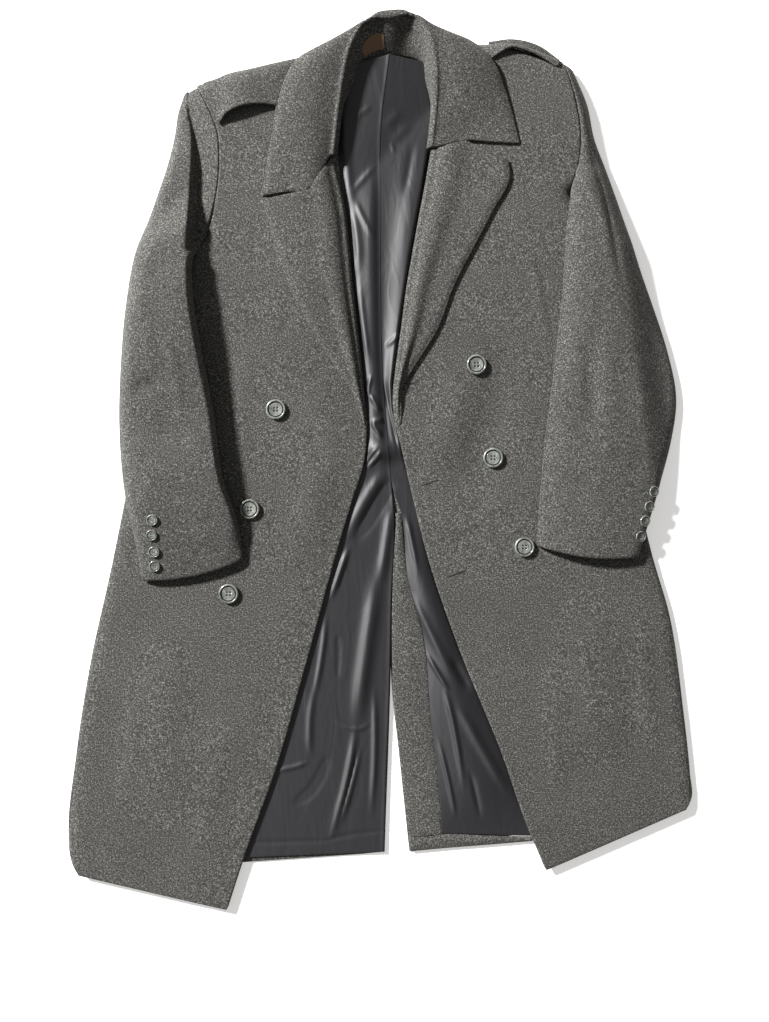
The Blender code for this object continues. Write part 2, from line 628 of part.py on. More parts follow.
class Arm:
    """One sleeve: its edges, read at places counted in rows from the cuff."""

    def __init__(self, low, head, front_rows, seam_row, shift, inward):
        low = np.array(low)
        head = np.array(head)
        seam = np.array(front_rows)[seam_row + 1:, 0:2] + np.array([shift, 0.0])
        self.outer = np.vstack([low[:, 0:2], head[:, 0:2]])
        self.inner = np.vstack([low[:, 2:4], seam])
        self.form = np.vstack([low[:, 4:7], head[:, 2:5]])
        self.seam_row = len(low) - 1
        line = outer_line(front_rows, 1, seam_row) + [inward]
        self.body = line if shift < 0 else line[::-1]

    def plan(self, places, across):
        """Plan spots at places along the sleeve and shares across each section."""
        outer = through(self.outer, places)[:, None, :]
        inner = through(self.inner, places)[:, None, :]
        return outer * (1.0 - across[..., None]) + inner * across[..., None]

    def under(self, plan):
        """Height of the sleeve's underside: floor beside the body, over the front on it."""
        climb = ease((side_of(plan, self.body) + SLEEVE_RAMP) / (SLEEVE_RAMP - SLEEVE_CLEAR))
        over = body_height(plan, SLEEVE_CLEAR) + FRONT_WALL / 2 + SLEEVE_LAY
        return SEAM + (over - SEAM) * climb

    def upper(self, plan, places, across):
        """Height of the top sleeve's lower face: lofted, folded, and level with the front at the seam."""
        loft, fold, depth = np.moveaxis(through(self.form, places), -1, 0)[:, :, None]
        top = self.under(plan) + SLEEVE_WALL + SEAM
        level = np.maximum(body_height(plan[:, -1:]) - SLEEVE_WALL / 2 - top[:, -1:], 0.0)
        level = level * ease(places - self.seam_row)[:, None]
        dip = depth * np.exp(-((across - fold) / FOLD_WIDTH) ** 2)
        beyond = HEAD_DROP * ease((across - fold) / FOLD_WIDTH) * ease(places - self.seam_row)[:, None]
        puff = loft * (1.0 - np.abs(2.0 * across - 1.0) ** PUFF_CURVE) * (1.0 - dip) * (1.0 - beyond)
        return top + puff + level * across


def sleeve(side, arm):
    """Top sleeve and under sleeve of one arm, flattened and lying beside and on the body."""
    places = spread(len(arm.outer), 2)
    fold = through(arm.form, places)[:, 1:2]
    outer_part = np.asarray(OUTER_SHARES)[None, :] * fold
    inner_part = fold + np.asarray(INNER_SHARES)[None, :] * (1.0 - fold)
    across = np.concatenate([outer_part, inner_part], axis=1)
    plan = arm.plan(places, across)
    low = arm.under(plan)
    top = arm.upper(plan, places, across)
    beneath = lifted(plan, low)[:, UNDER_COLUMNS]
    over = lifted(plan, low + SLEEVE_WALL)[:, UNDER_COLUMNS]
    wall("under_sleeve_" + side, over, beneath, wool, coat)
    wall("top_sleeve_" + side, lifted(plan, top + SLEEVE_WALL), lifted(plan, top), wool, coat)


RIGHT_ARM = Arm(SLEEVE_RIGHT, HEAD_RIGHT, FRONT_RIGHT, SEAM_RIGHT, -SEAM, OVER_CHEST_RIGHT)
LEFT_ARM = Arm(SLEEVE_LEFT, HEAD_LEFT, FRONT_LEFT, SEAM_LEFT, SEAM, OVER_CHEST_LEFT)
sleeve("right", RIGHT_ARM)
sleeve("left", LEFT_ARM)


def strap(name, rows, bow):
    """A shoulder strap lying on the front, its front edge bowed up between its ends."""
    rows = np.array(rows)
    places = spread(len(rows), 3)
    plan = sections(through(rows[:, 0:2], places), through(rows[:, 2:4], places), STRAP_ACROSS)
    share = np.asarray(STRAP_ACROSS)
    arch = bow * np.sin(np.pi * places / (len(rows) - 1))[:, None] * (1.0 - share)[None, :]
    low = body_height(plan) + FRONT_WALL / 2 + SEAM + arch
    wall(name, lifted(plan, low + STRAP_WALL), lifted(plan, low), wool, coat)


strap("strap_right", STRAP_RIGHT, STRAP_BOW_RIGHT)
strap("strap_left", STRAP_LEFT, STRAP_BOW_LEFT)


def button_mesh(name, width, sides):
    """A dished button with a raised rim, turned about its axis."""
    turned = bpy.data.meshes.new(name)
    ring = [(across * width, 0.0, up * width) for across, up in BUTTON_LINE]
    turned.from_pydata(ring, [(spot, spot + 1) for spot in range(len(ring) - 1)], [])
    turned.materials.append(horn)
    return turned, sides


def button(name, pattern, spot, tilt):
    """One button set at a spot, its axis along the tilt."""
    piece = bpy.data.objects.new(name, pattern[0])
    spin = piece.modifiers.new("turn", "SCREW")
    spin.axis = "Z"
    spin.angle = 2.0 * math.pi
    spin.steps = pattern[1]
    spin.render_steps = pattern[1]
    spin.use_merge_vertices = True
    spin.merge_threshold = 0.00001
    spin.use_normal_calculate = True
    up = np.array([0.0, 0.0, 1.0])
    turn = np.cross(up, tilt)
    angle = math.acos(max(-1.0, min(1.0, float(tilt @ up))))
    size = np.linalg.norm(turn)
    piece.location = spot
    piece.rotation_mode = "AXIS_ANGLE"
    if size > 1e-6:
        piece.rotation_axis_angle = (angle, *(turn / size))
    coat.objects.link(piece)


FRONT_PATTERN = button_mesh("front_button", FRONT_BUTTON, 18)
CUFF_PATTERN = button_mesh("cuff_button", CUFF_BUTTON, 12)


def seat(skin, middle, width):
    """Where a button of a width sits on a skin of points, and the way it faces."""
    out = facing_up(skin)[middle]
    offset = skin - skin[middle]
    above = offset @ out
    aside = np.linalg.norm(offset - above[..., None] * out, axis=-1)
    return skin[middle] + out * (above[aside < width * BUTTON_FOOT].max() + SEAM), out


def front_buttons(side, spots):
    """Buttons lying on a front."""
    step = np.linspace(-0.6, 0.6, 13) * FRONT_BUTTON
    for number, spot in enumerate(spots, 1):
        plan = np.stack(np.meshgrid(spot[0] + step, spot[1] + step), -1)
        skin = lifted(plan, body_height(plan) + FRONT_WALL / 2)
        place, out = seat(skin, (6, 6), FRONT_BUTTON)
        button(f"button_{side}_{number}", FRONT_PATTERN, place, out)


front_buttons("right", BUTTON_SPOTS_RIGHT)
front_buttons("left", BUTTON_SPOTS_LEFT)


def cuff_buttons(side, arm, spots):
    """Buttons lying on the top sleeve at the cuff, square to its surface."""
    fine = np.linspace(0.0, 1.0, 201)
    for number, (along, share) in enumerate(spots, 1):
        places = along + np.linspace(-0.3, 0.3, 13)
        across = np.broadcast_to(fine, (len(places), len(fine)))
        plan = arm.plan(places, across)
        skin = lifted(plan, arm.upper(plan, places, across) + SLEEVE_WALL)
        place, out = seat(skin, (6, int(round(share * 200))), CUFF_BUTTON)
        button(f"cuff_button_{side}_{number}", CUFF_PATTERN, place, out)


cuff_buttons("right", RIGHT_ARM, CUFF_SPOTS_RIGHT)
cuff_buttons("left", LEFT_ARM, CUFF_SPOTS_LEFT)
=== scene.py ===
import bpy
import numpy as np
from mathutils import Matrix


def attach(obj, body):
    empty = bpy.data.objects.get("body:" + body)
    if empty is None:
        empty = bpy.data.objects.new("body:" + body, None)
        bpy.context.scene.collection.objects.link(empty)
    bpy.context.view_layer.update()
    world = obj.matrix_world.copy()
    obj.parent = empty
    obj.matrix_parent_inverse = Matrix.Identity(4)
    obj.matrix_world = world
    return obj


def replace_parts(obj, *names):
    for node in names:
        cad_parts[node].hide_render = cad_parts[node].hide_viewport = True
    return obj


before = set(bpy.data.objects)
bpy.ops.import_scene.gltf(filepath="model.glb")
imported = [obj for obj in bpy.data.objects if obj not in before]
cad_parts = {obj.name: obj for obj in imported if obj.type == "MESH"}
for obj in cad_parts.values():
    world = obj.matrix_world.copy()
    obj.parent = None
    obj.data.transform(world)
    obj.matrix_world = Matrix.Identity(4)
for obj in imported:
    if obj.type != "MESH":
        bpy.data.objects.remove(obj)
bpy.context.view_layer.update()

# The studio: a camera hangs straight above the coat, a small soft lamp at the upper left
# lays a short shadow to the lower right of every edge, a weak dome of light fills the shadows,
# and a pale matt floor carries the coat.
PIXEL = 0.00136
PICTURE = (769, 1022)
CAMERA_SPOT = (0.005, -0.0585, 1.35)
SENSOR = 36.0
KEY_SPOT = (-5.05, 3.50, 3.48)
KEY_SIZE = 0.75
KEY_POWER = 1640.0
FILL_LIGHT = 0.26
FLOOR_TONE = "#f4f3f1"
FLOOR_GLOW = 0.45
FLOOR_HALF = 4.0
FLOOR_DROP = 0.0003


def linear(code):
    """Linear colour of a hex code, each part freed of the screen's curve."""
    parts = np.array([int(code[spot:spot + 2], 16) for spot in (1, 3, 5)]) / 255.0
    parts = np.where(parts <= 0.04045, parts / 12.92, ((parts + 0.055) / 1.055) ** 2.4)
    return (*parts.tolist(), 1.0)


def node(tree, kind, values=None, links=None, **settings):
    """Add a node of a kind with its settings, the values of its sockets and the links into them."""
    made = tree.nodes.new(kind)
    for name, value in settings.items():
        setattr(made, name, value)
    for name, value in (values or {}).items():
        made.inputs[name].default_value = value
    for name, source in (links or {}).items():
        tree.links.new(source, made.inputs[name])
    return made


def finish_of(name, values):
    """A new material whose Principled shader has these values, with its node tree and shader."""
    made = bpy.data.materials.new(name)
    made.use_nodes = True
    shader = made.node_tree.nodes["Principled BSDF"]
    for socket, value in values.items():
        shader.inputs[socket].default_value = value
    return made, made.node_tree, shader


scene = bpy.context.scene
scene.view_settings.view_transform = "Standard"
lens = bpy.data.cameras.new("camera")
lens.sensor_fit = "VERTICAL"
lens.sensor_height = SENSOR
lens.lens = SENSOR * CAMERA_SPOT[2] / (PICTURE[1] * PIXEL)
camera = bpy.data.objects.new("camera", lens)
camera.location = CAMERA_SPOT
scene.collection.objects.link(camera)
scene.camera = camera

lamp = bpy.data.lights.new("key", "AREA")
lamp.size = KEY_SIZE
lamp.energy = KEY_POWER
key = bpy.data.objects.new("key", lamp)
key.location = KEY_SPOT
key.rotation_euler = (-key.location).to_track_quat("-Z", "Y").to_euler()
scene.collection.objects.link(key)

sky = bpy.data.worlds.new("studio")
sky.use_nodes = True
sky.node_tree.nodes["Background"].inputs["Color"].default_value = (1.0, 1.0, 1.0, 1.0)
sky.node_tree.nodes["Background"].inputs["Strength"].default_value = FILL_LIGHT
scene.world = sky

board = bpy.data.meshes.new("floor")
corners = np.array(((-1, -1, 0), (1, -1, 0), (1, 1, 0), (-1, 1, 0))) * FLOOR_HALF
board.from_pydata(corners, [], [(0, 1, 2, 3)])
paper, _, _ = finish_of("pale paper", {
    "Base Color": linear(FLOOR_TONE), "Roughness": 0.95,
    "Emission Color": linear(FLOOR_TONE), "Emission Strength": FLOOR_GLOW,
})
board.materials.append(paper)
floor = bpy.data.objects.new("floor", board)
floor.location = (0.0, 0.0, -FLOOR_DROP)
scene.collection.objects.link(floor)


# The back: two halves of heavy wool coating, sewn at centre back down to the vent. They lie
# flat on the floor under everything else and show at the hem and at the edges of the vent.
BACK_WALL = 0.0025
# Gap left between layers that are sewn or lie together.
SEAM = 0.0004
# Turn of the rings that close a sheet's rim, in degrees from its face.
RIM_TURN = (40.0, 90.0, 140.0)
# Rows over which the last sections of the back are drawn to shoulder and nape.
NECK_ROWS = 2
# Each half of the coat, hem to shoulder: side or armhole x, y, front edge x, y.
FRONT_RIGHT = np.array((
    (-0.408, -0.550, -0.209, -0.596),
    (-0.418, -0.530, -0.203, -0.577),
    (-0.421, -0.500, -0.190, -0.537),
    (-0.411, -0.390, -0.143, -0.407),
    (-0.391, -0.262, -0.103, -0.268),
    (-0.362, -0.130, -0.063, -0.122),
    (-0.345, -0.045, -0.040, -0.045),
    (-0.336, 0.010, -0.023, 0.012),
    (-0.327, 0.060, -0.020, 0.058),
    (-0.306, 0.187, -0.031, 0.186),
    (-0.288, 0.279, -0.040, 0.266),
    (-0.257, 0.291, -0.043, 0.300),
    (-0.234, 0.312, -0.046, 0.335),
    (-0.219, 0.365, -0.049, 0.370),
    (-0.2145, 0.412, -0.053, 0.410),
    (-0.217, 0.449, -0.058, 0.447),
    (-0.2305, 0.484, -0.064, 0.490),
    (-0.247, 0.515, -0.079, 0.561),
))
FRONT_LEFT = np.array((
    (0.412, -0.461, 0.224, -0.542),
    (0.419, -0.447, 0.217, -0.525),
    (0.417, -0.415, 0.202, -0.490),
    (0.408, -0.330, 0.165, -0.385),
    (0.388, -0.195, 0.108, -0.245),
    (0.366, -0.120, 0.069, -0.133),
    (0.342, -0.016, 0.041, -0.023),
    (0.335, 0.030, 0.029, 0.030),
    (0.328, 0.075, 0.017, 0.080),
    (0.321, 0.119, 0.017, 0.114),
    (0.310, 0.200, 0.027, 0.186),
    (0.297, 0.288, 0.041, 0.280),
    (0.277, 0.327, 0.051, 0.335),
    (0.2545, 0.369, 0.058, 0.373),
    (0.263, 0.406, 0.063, 0.408),
    (0.266, 0.446, 0.069, 0.450),
    (0.259, 0.493, 0.076, 0.500),
    (0.242, 0.548, 0.089, 0.566),
))
# How far the left shoulder bows out, and where along the shoulder.
SHOULDER_BOW_LEFT = 0.013
SHOULDER_SHARE = 0.55
# Centre back edge of each half, hem to nape: x, y.
BACK_RIGHT_INNER = np.array((
    (0.0040, -0.521), (0.0042, -0.515), (0.0050, -0.490), (0.0085, -0.395), (0.0118, -0.293),
    (0.0145, -0.179), (0.0180, -0.060), (0.0160, -0.020), (0.0140, 0.040), (0.0120, 0.150),
    (0.0115, 0.230), (0.0115, 0.290), (0.0115, 0.330), (0.0115, 0.370), (0.0115, 0.410),
    (0.0115, 0.450), (0.0115, 0.490), (0.0115, 0.567),
))
BACK_LEFT_INNER = np.array((
    (0.0400, -0.520), (0.0385, -0.508), (0.0355, -0.480), (0.0255, -0.385), (0.0158, -0.293),
    (0.0157, -0.179), (0.0188, -0.060), (0.0168, -0.020), (0.0148, 0.040), (0.0128, 0.150),
    (0.0123, 0.230), (0.0123, 0.290), (0.0123, 0.330), (0.0123, 0.370), (0.0123, 0.410),
    (0.0123, 0.450), (0.0123, 0.490), (0.0123, 0.567),
))


def ease(share):
    """Smooth step from zero to one."""
    share = np.clip(share, 0.0, 1.0)
    return share * share * (3.0 - 2.0 * share)


def unit(vectors):
    """The vectors at length one."""
    return vectors / np.maximum(np.linalg.norm(vectors, axis=-1, keepdims=True), 1e-12)


def through(points, places):
    """Smooth curve through the points, cubic in each row, read at places counted in rows."""
    steps = np.linalg.norm(np.diff(points, axis=0), axis=1)[:, None] + 1e-6
    slopes = np.diff(points, axis=0) / steps
    inside = (slopes[:-1] * steps[1:] + slopes[1:] * steps[:-1]) / (steps[:-1] + steps[1:])
    tangents = np.vstack([slopes[:1], inside, slopes[-1:]])
    row = np.clip(np.floor(places).astype(int), 0, len(points) - 2)
    part = (places - row)[:, None]
    rest = 1.0 - part
    leaving = (1.0 + 2.0 * part) * rest ** 2 * points[row] + part * rest ** 2 * steps[row] * tangents[row]
    coming = (3.0 - 2.0 * part) * part ** 2 * points[row + 1]
    return leaving + coming - rest * part ** 2 * steps[row] * tangents[row + 1]


def even(points, count):
    """Places along the rows of points at which a curve through them is cut into equal lengths."""
    fine = np.linspace(0.0, len(points) - 1.0, 40 * len(points))
    run = np.linalg.norm(np.diff(through(points, fine), axis=0), axis=1)
    along = np.concatenate([[0.0], np.cumsum(run)])
    return np.interp(np.linspace(0.0, along[-1], count), along, fine)


def between(edge_a, edge_b, share):
    """Straight sections from edge_a to edge_b, cut at the shares."""
    share = np.asarray(share)[None, :, None]
    return edge_a[:, None, :] * (1.0 - share) + edge_b[:, None, :] * share


def lifted(plan, height):
    """Plan spots raised to the given heights."""
    return np.concatenate([plan, np.broadcast_to(height, plan.shape[:2])[..., None]], axis=-1)


def net(numbers):
    """Quads between neighbours in a grid of point numbers."""
    corners = (numbers[:-1, :-1], numbers[:-1, 1:], numbers[1:, 1:], numbers[1:, :-1])
    return np.stack(corners, -1).reshape(-1, 4)


def round_rim(grid):
    """The values round the rim of a grid, once round."""
    return np.concatenate([grid[0, :-1], grid[:-1, -1], grid[-1, :0:-1], grid[:0:-1, 0]])


def piece_of(name, points, quads, finish, caps=()):
    """A smooth object at the origin from arrays of points and of quads, with caps over its open ends."""
    mesh = bpy.data.meshes.new(name)
    mesh.from_pydata(points.reshape(-1, 3), [], [*quads.tolist(), *(cap.tolist() for cap in caps)])
    mesh.polygons.foreach_set("use_smooth", np.ones(len(quads) + len(caps), bool))
    mesh.materials.append(finish)
    made = bpy.data.objects.new(name, mesh)
    scene.collection.objects.link(made)
    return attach(made, "root")


def cloth(name, grid, wall, finish):
    """A sheet of cloth: the grid's points moved half a wall out to each side along the normal,
    and the rim closed by a half circle as wide as the wall."""
    rows, columns = grid.shape[:2]
    normal = unit(np.cross(np.gradient(grid, axis=1), np.gradient(grid, axis=0)))
    numbers = np.arange(rows * columns).reshape(rows, columns)
    inner = grid[np.clip(np.arange(rows), 1, rows - 2)][:, np.clip(np.arange(columns), 1, columns - 2)]
    edge = round_rim(numbers)
    up = round_rim(normal)
    out = round_rim(grid - inner)
    out = unit(out - (out * up).sum(-1, keepdims=True) * up)
    turn = np.radians(RIM_TURN)[:, None, None]
    rings = round_rim(grid) + wall / 2 * (np.sin(turn) * out + np.cos(turn) * up)
    ring_numbers = 2 * numbers.size + np.arange(len(turn) * len(edge)).reshape(len(turn), -1)
    side = np.vstack([edge, ring_numbers, edge + numbers.size])
    side = np.hstack([side, side[:, :1]])
    points = [(grid + normal * wall / 2).reshape(-1, 3), (grid - normal * wall / 2).reshape(-1, 3)]
    points = np.concatenate([*points, rings.reshape(-1, 3)])
    quads = np.concatenate([net(numbers), net(numbers + numbers.size)[:, ::-1], net(side.T)])
    return piece_of(name + "_cloth", points, quads, finish)


def wool_coating():
    """Charcoal melange wool: dark and pale fibres spun together give a salt-and-pepper grain of
    2 to 4 mm, a faint steep twill, and a matt face with a soft bloom of loose fibre."""
    made, tree, shader = finish_of("charcoal wool coating", {
        "Roughness": 0.92, "Specular IOR Level": 0.18, "Sheen Weight": 0.10,
        "Sheen Roughness": 0.45, "Sheen Tint": linear("#b9b7b0"),
    })
    spot = node(tree, "ShaderNodeTexCoord").outputs["Object"]
    grain = node(
        tree, "ShaderNodeTexNoise", {"Scale": 560.0, "Detail": 3.0, "Roughness": 0.72}, {"Vector": spot},
    )
    blend = node(tree, "ShaderNodeValToRGB", links={"Fac": grain.outputs["Fac"]})
    blend.color_ramp.elements[0].position = 0.33
    blend.color_ramp.elements[0].color = linear("#232322")
    blend.color_ramp.elements[1].position = 0.70
    blend.color_ramp.elements[1].color = linear("#8b8982")
    middle = blend.color_ramp.elements.new(0.52)
    middle.color = linear("#434240")
    twill = node(
        tree, "ShaderNodeTexWave", {"Scale": 70.0, "Distortion": 3.0, "Detail": 2.0, "Detail Scale": 3.0},
        {"Vector": spot}, bands_direction="DIAGONAL",
    )
    ribs = node(
        tree, "ShaderNodeMix", {"Factor": 0.06}, {"A": blend.outputs["Color"], "B": twill.outputs["Color"]},
        data_type="RGBA", blend_type="SOFT_LIGHT",
    )
    patches = node(tree, "ShaderNodeTexNoise", {"Scale": 9.0, "Detail": 3.0}, {"Vector": spot})
    shade = node(
        tree, "ShaderNodeMapRange", {"From Min": 0.3, "From Max": 0.7, "To Min": 0.93, "To Max": 1.07},
        {"Value": patches.outputs["Fac"]},
    )
    tone = node(
        tree, "ShaderNodeMix", {"Factor": 1.0}, {"A": ribs.outputs["Result"], "B": shade.outputs["Result"]},
        data_type="RGBA", blend_type="MULTIPLY",
    )
    nap = node(
        tree, "ShaderNodeBump", {"Strength": 0.55, "Distance": 0.0006}, {"Height": grain.outputs["Fac"]},
    )
    tree.links.new(tone.outputs["Result"], shader.inputs["Base Color"])
    tree.links.new(nap.outputs["Normal"], shader.inputs["Normal"])
    return made


wool = wool_coating()


def back_half(name, rows, inner, bow):
    """A flat loft from side to centre back, its last section along the shoulder and nape."""
    places = even(rows[:, 0:2], 90)
    outer = through(rows[:, 0:2], places)
    plan = between(outer, through(inner, places), np.linspace(0.0, 1.0, 16))
    point = rows[-1, 2:4]
    shoulder = outer[-1] * (1.0 - SHOULDER_SHARE) + point * SHOULDER_SHARE + (0.0, bow)
    neck = np.array([outer[-1], shoulder, point, inner[-1]])
    line = through(neck, np.linspace(0.0, 3.0, 16))
    upper = ease((places - len(rows) + 1 + NECK_ROWS) / NECK_ROWS)[:, None, None]
    plan = plan + (line - plan[-1])[None] * upper
    made = cloth(name, lifted(plan, BACK_WALL / 2), BACK_WALL, wool)
    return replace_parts(made, name)


back_right = back_half("back_right", FRONT_RIGHT, BACK_RIGHT_INNER, 0.0)
back_left = back_half("back_left", FRONT_LEFT, BACK_LEFT_INNER, SHOULDER_BOW_LEFT)


# The lining: two halves of black satin on the back's inside, joined by a seam at centre back
# that sinks into a groove, drawn into soft creases, with a bulge over the top of the vent.
LINING_WALL = 0.001
# Power by which the columns of points lie closer towards centre back.
LINING_CLOSER = 1.3
# Each half, hem to nape: edge under the front x, y, centre back or vent edge x, y.
LINING_RIGHT = np.array((
    (-0.215, -0.529, 0.003, -0.520),
    (-0.182, -0.407, 0.0070, -0.397),
    (-0.150, -0.293, 0.0110, -0.293),
    (-0.118, -0.179, 0.0135, -0.179),
    (-0.088, -0.062, 0.0170, -0.060),
    (-0.072, -0.020, 0.0145, -0.030),
    (-0.063, 0.045, 0.0088, 0.040),
    (-0.066, 0.120, 0.0018, 0.130),
    (-0.080, 0.250, -0.0007, 0.250),
    (-0.090, 0.370, -0.0012, 0.370),
    (-0.092, 0.460, -0.0002, 0.460),
    (-0.050, 0.540, 0.0113, 0.5550),
))
LINING_LEFT = np.array((
    (0.235, -0.499, 0.0835, -0.495),
    (0.200, -0.415, 0.0780, -0.419),
    (0.175, -0.342, 0.0685, -0.342),
    (0.145, -0.240, 0.0580, -0.228),
    (0.118, -0.146, 0.0365, -0.146),
    (0.086, -0.062, 0.0280, -0.062),
    (0.073, -0.020, 0.0175, -0.030),
    (0.062, 0.045, 0.0096, 0.040),
    (0.058, 0.120, 0.0026, 0.130),
    (0.078, 0.250, 0.0001, 0.250),
    (0.098, 0.370, -0.0004, 0.370),
    (0.108, 0.460, 0.0006, 0.460),
    (0.068, 0.545, 0.0121, 0.5550),
))
# Creases of the lining: start x, y, middle x, y, end x, y, half width, height, in millimetres.
LINING_CREASES = np.array((
    (-56, 470, -47, 400, -40, 345, 7.0, 2.6),
    (-42, 356, -31, 308, -31, 258, 5.0, 1.7),
    (-36, 366, -23, 334, -8, 308, 3.6, 1.7),
    (-42, 370, -23, 391, -5, 411, 4.0, 1.4),
    (-31, 262, -24, 190, -14, 136, 4.5, 2.4),
    (-34, 300, -36, 250, -30, 205, 3.0, 1.4),
    (-36, 472, -24, 480, -10, 487, 4.0, 1.0),
    (3, 458, 16, 471, 30, 484, 6.0, 1.0),
    (12, 437, 27, 452, 44, 467, 6.0, 1.0),
    (44, 445, 38, 404, 30, 360, 5.0, -1.3),
    (46, 400, 36, 330, 24, 230, 12.0, 1.4),
    (12, 440, 16, 434, 18, 424, 2.5, 0.8),
    (5, 164, 16, 171, 29, 184, 2.6, 2.0),
    (-10, 128, -17, 108, -14, 95, 2.8, 2.6),
    (-16, 100, -8, 88, 0, 74, 2.8, 2.8),
    (5, 67, -4, 64, -14, 61, 2.6, 2.4),
    (-14, 64, -6, 52, 3, 37, 2.8, 3.0),
    (-22, 0, -13, 19, 2, 28, 2.4, 2.8),
    (-21, -2, -8, 11, 3, 26, 2.4, 2.4),
    (2, 128, 14, 70, 26, 10, 3.0, -2.6),
    (10, -4, -18, -40, -50, -108, 8.0, 3.8),
    (18, -12, -6, -52, -40, -106, 8.0, -3.6),
    (-42, -104, -55, -140, -70, -184, 3.5, 3.5),
    (16, -44, 8, -100, -4, -172, 6.5, 3.6),
    (0, -118, -20, -250, -34, -362, 9.0, 5.2),
    (-33, -340, -47, -428, -72, -514, 4.0, 3.8),
    (-26, -372, -41, -434, -56, -486, 3.1, 3.0),
    (-30, -376, -45, -436, -62, -492, 2.6, -2.4),
    (-74, -196, -80, -255, -92, -318, 2.8, 2.7),
    (-88, -290, -96, -345, -94, -396, 3.5, 2.4),
    (-58, -224, -58, -255, -58, -288, 2.1, -3.2),
    (-72, -386, -90, -432, -122, -456, 4.8, -4.3),
    (-66, -340, -36, -354, -12, -344, 1.9, 1.9),
    (-146, -410, -120, -406, -96, -398, 2.1, 2.2),
    (-112, -250, -140, -340, -168, -440, 7.9, 3.0),
    (-10, -290, -8, -380, -14, -480, 3.5, 2.7),
    (40, -166, 66, -222, 110, -302, 6.0, 4.0),
    (58, -244, 78, -279, 94, -303, 2.8, 3.5),
    (100, -312, 136, -378, 182, -456, 6.2, 4.3),
    (84, -294, 99, -352, 114, -446, 3.5, 3.5),
    (76, -360, 91, -422, 102, -478, 2.6, 2.7),
    (92, -252, 108, -280, 122, -306, 6.2, -4.1),
    (34, -60, 42, -100, 52, -150, 3.5, 2.7),
    (118, -404, 128, -440, 136, -480, 3.5, -2.4),
    (-190, -507, -125, -507, -60, -505, 2.2, -1.4),
    (-80, -507, -40, -497, 12, -492, 2.2, -1.4),
))
# Bulge over the vent: middle x, y, half width, half length, height.
LINING_BULGE = (0.004, 0.022, 0.020, 0.013, 0.0085)
# Groove at centre back: the right half swells beside it, within a distance, and falls again to
# the front's edge; the left half rises from it all the way. Both fade towards the nape.
GROOVE_RIGHT = (0.0072, 0.0085)
GROOVE_FALL = 0.85
GROOVE_LEFT = 0.0080
# Below the waist the left half lies in one broad hump between the vent and the front's edge.
SKIRT_HUMP = 0.0075
# Where groove and hump start and end along the coat: y, and the run they fade over.
GROOVE_FROM = (-0.02, 0.10)
GROOVE_TO = (0.44, 0.11)
HUMP_FROM = (-0.50, 0.08)
HUMP_TO = (-0.06, 0.12)
# The lining drops under the fronts: how far inside their edges it starts, and over what width.
DROP_RIGHT = (0.012, 0.016)
DROP_LEFT = (0.006, 0.010)
# The lining lies loose on the back: its slack, and how far a trough may sink into that.
SLACK = 0.0010
DEEPEST = 0.0007
# The right half laps up over the left one at the seam by this much.
SEAM_LAP = 0.0005
LAP_WIDTH = 0.003
# From a trough along this line the lining climbs to the nape, and to the waist: slope and reach.
TROUGH_LINE = np.array(((-0.0347, 0.384), (0.0433, 0.4634)))
TROUGH_ROUND = 0.008
NAPE_CLIMB = (0.17, 0.15)
WAIST_CLIMB = (0.20, 0.030)
WAIST_FADE = 0.17
# On the right half that climb falls off by this share towards the front's edge.
WAIST_FALL = 0.75
# A crease fades over this share of its length at each end.
CREASE_FADE = 0.35


def crease(spots, row):
    """Height of one crease: a bell across a bent line of three points, fading to both its ends."""
    share = np.linspace(0.0, 1.0, 13)[:, None]
    bend = 2.0 * row[2:4] - 0.5 * row[0:2] - 0.5 * row[4:6]
    line = (1 - share) ** 2 * row[0:2] + 2 * share * (1 - share) * bend + share ** 2 * row[4:6]
    run = np.diff(line, axis=0)
    offset = spots[..., None, :] - line[:-1]
    part = np.clip((offset * run).sum(-1) / (run * run).sum(-1), 0.0, 1.0)
    away = np.linalg.norm(offset - part[..., None] * run, axis=-1)
    pick = away.argmin(-1)[..., None]
    along = (pick + np.take_along_axis(part, pick, -1))[..., 0] / len(run)
    fade = ease(along / CREASE_FADE) * ease((1.0 - along) / CREASE_FADE)
    return row[7] * fade * np.exp(-(np.take_along_axis(away, pick, -1)[..., 0] / row[6]) ** 2)


def creased(spots, table):
    """Sum of a table's creases at each spot."""
    total = np.zeros(spots.shape[:-1])
    for row in table / 1000.0:
        total = total + crease(spots, row)
    return total


def black_satin():
    """Black satin: long floats of shiny thread give a smooth dark face with soft broad gleams,
    and a fine grain along the cloth."""
    made, tree, shader = finish_of("black satin", {
        "Base Color": linear("#17171a"), "Roughness": 0.56, "IOR": 1.70, "Specular IOR Level": 0.40,
        "Anisotropic": 0.45, "Sheen Weight": 0.05, "Sheen Roughness": 0.4,
    })
    spot = node(tree, "ShaderNodeTexCoord").outputs["Object"]
    drawn = node(
        tree, "ShaderNodeMapping", {"Rotation": (0.0, 0.0, -0.12), "Scale": (1.0, 0.30, 1.0)},
        {"Vector": spot},
    )
    slack = node(
        tree, "ShaderNodeTexNoise", {"Scale": 48.0, "Detail": 2.0, "Distortion": 0.9},
        {"Vector": drawn.outputs["Vector"]},
    )
    bump = node(
        tree, "ShaderNodeBump", {"Strength": 0.30, "Distance": 0.0022}, {"Height": slack.outputs["Fac"]},
    )
    tree.links.new(bump.outputs["Normal"], shader.inputs["Normal"])
    length = node(tree, "ShaderNodeCombineXYZ", {"Y": 1.0})
    tree.links.new(length.outputs["Vector"], shader.inputs["Tangent"])
    return made


satin = black_satin()


def groove_right(away, part):
    """Swell of the right half: a quick rise beside the seam, then a slow fall to the edge."""
    return GROOVE_RIGHT[0] * (1.0 - np.exp(-(away / GROOVE_RIGHT[1]) ** 2)) * (1.0 - GROOVE_FALL * part)


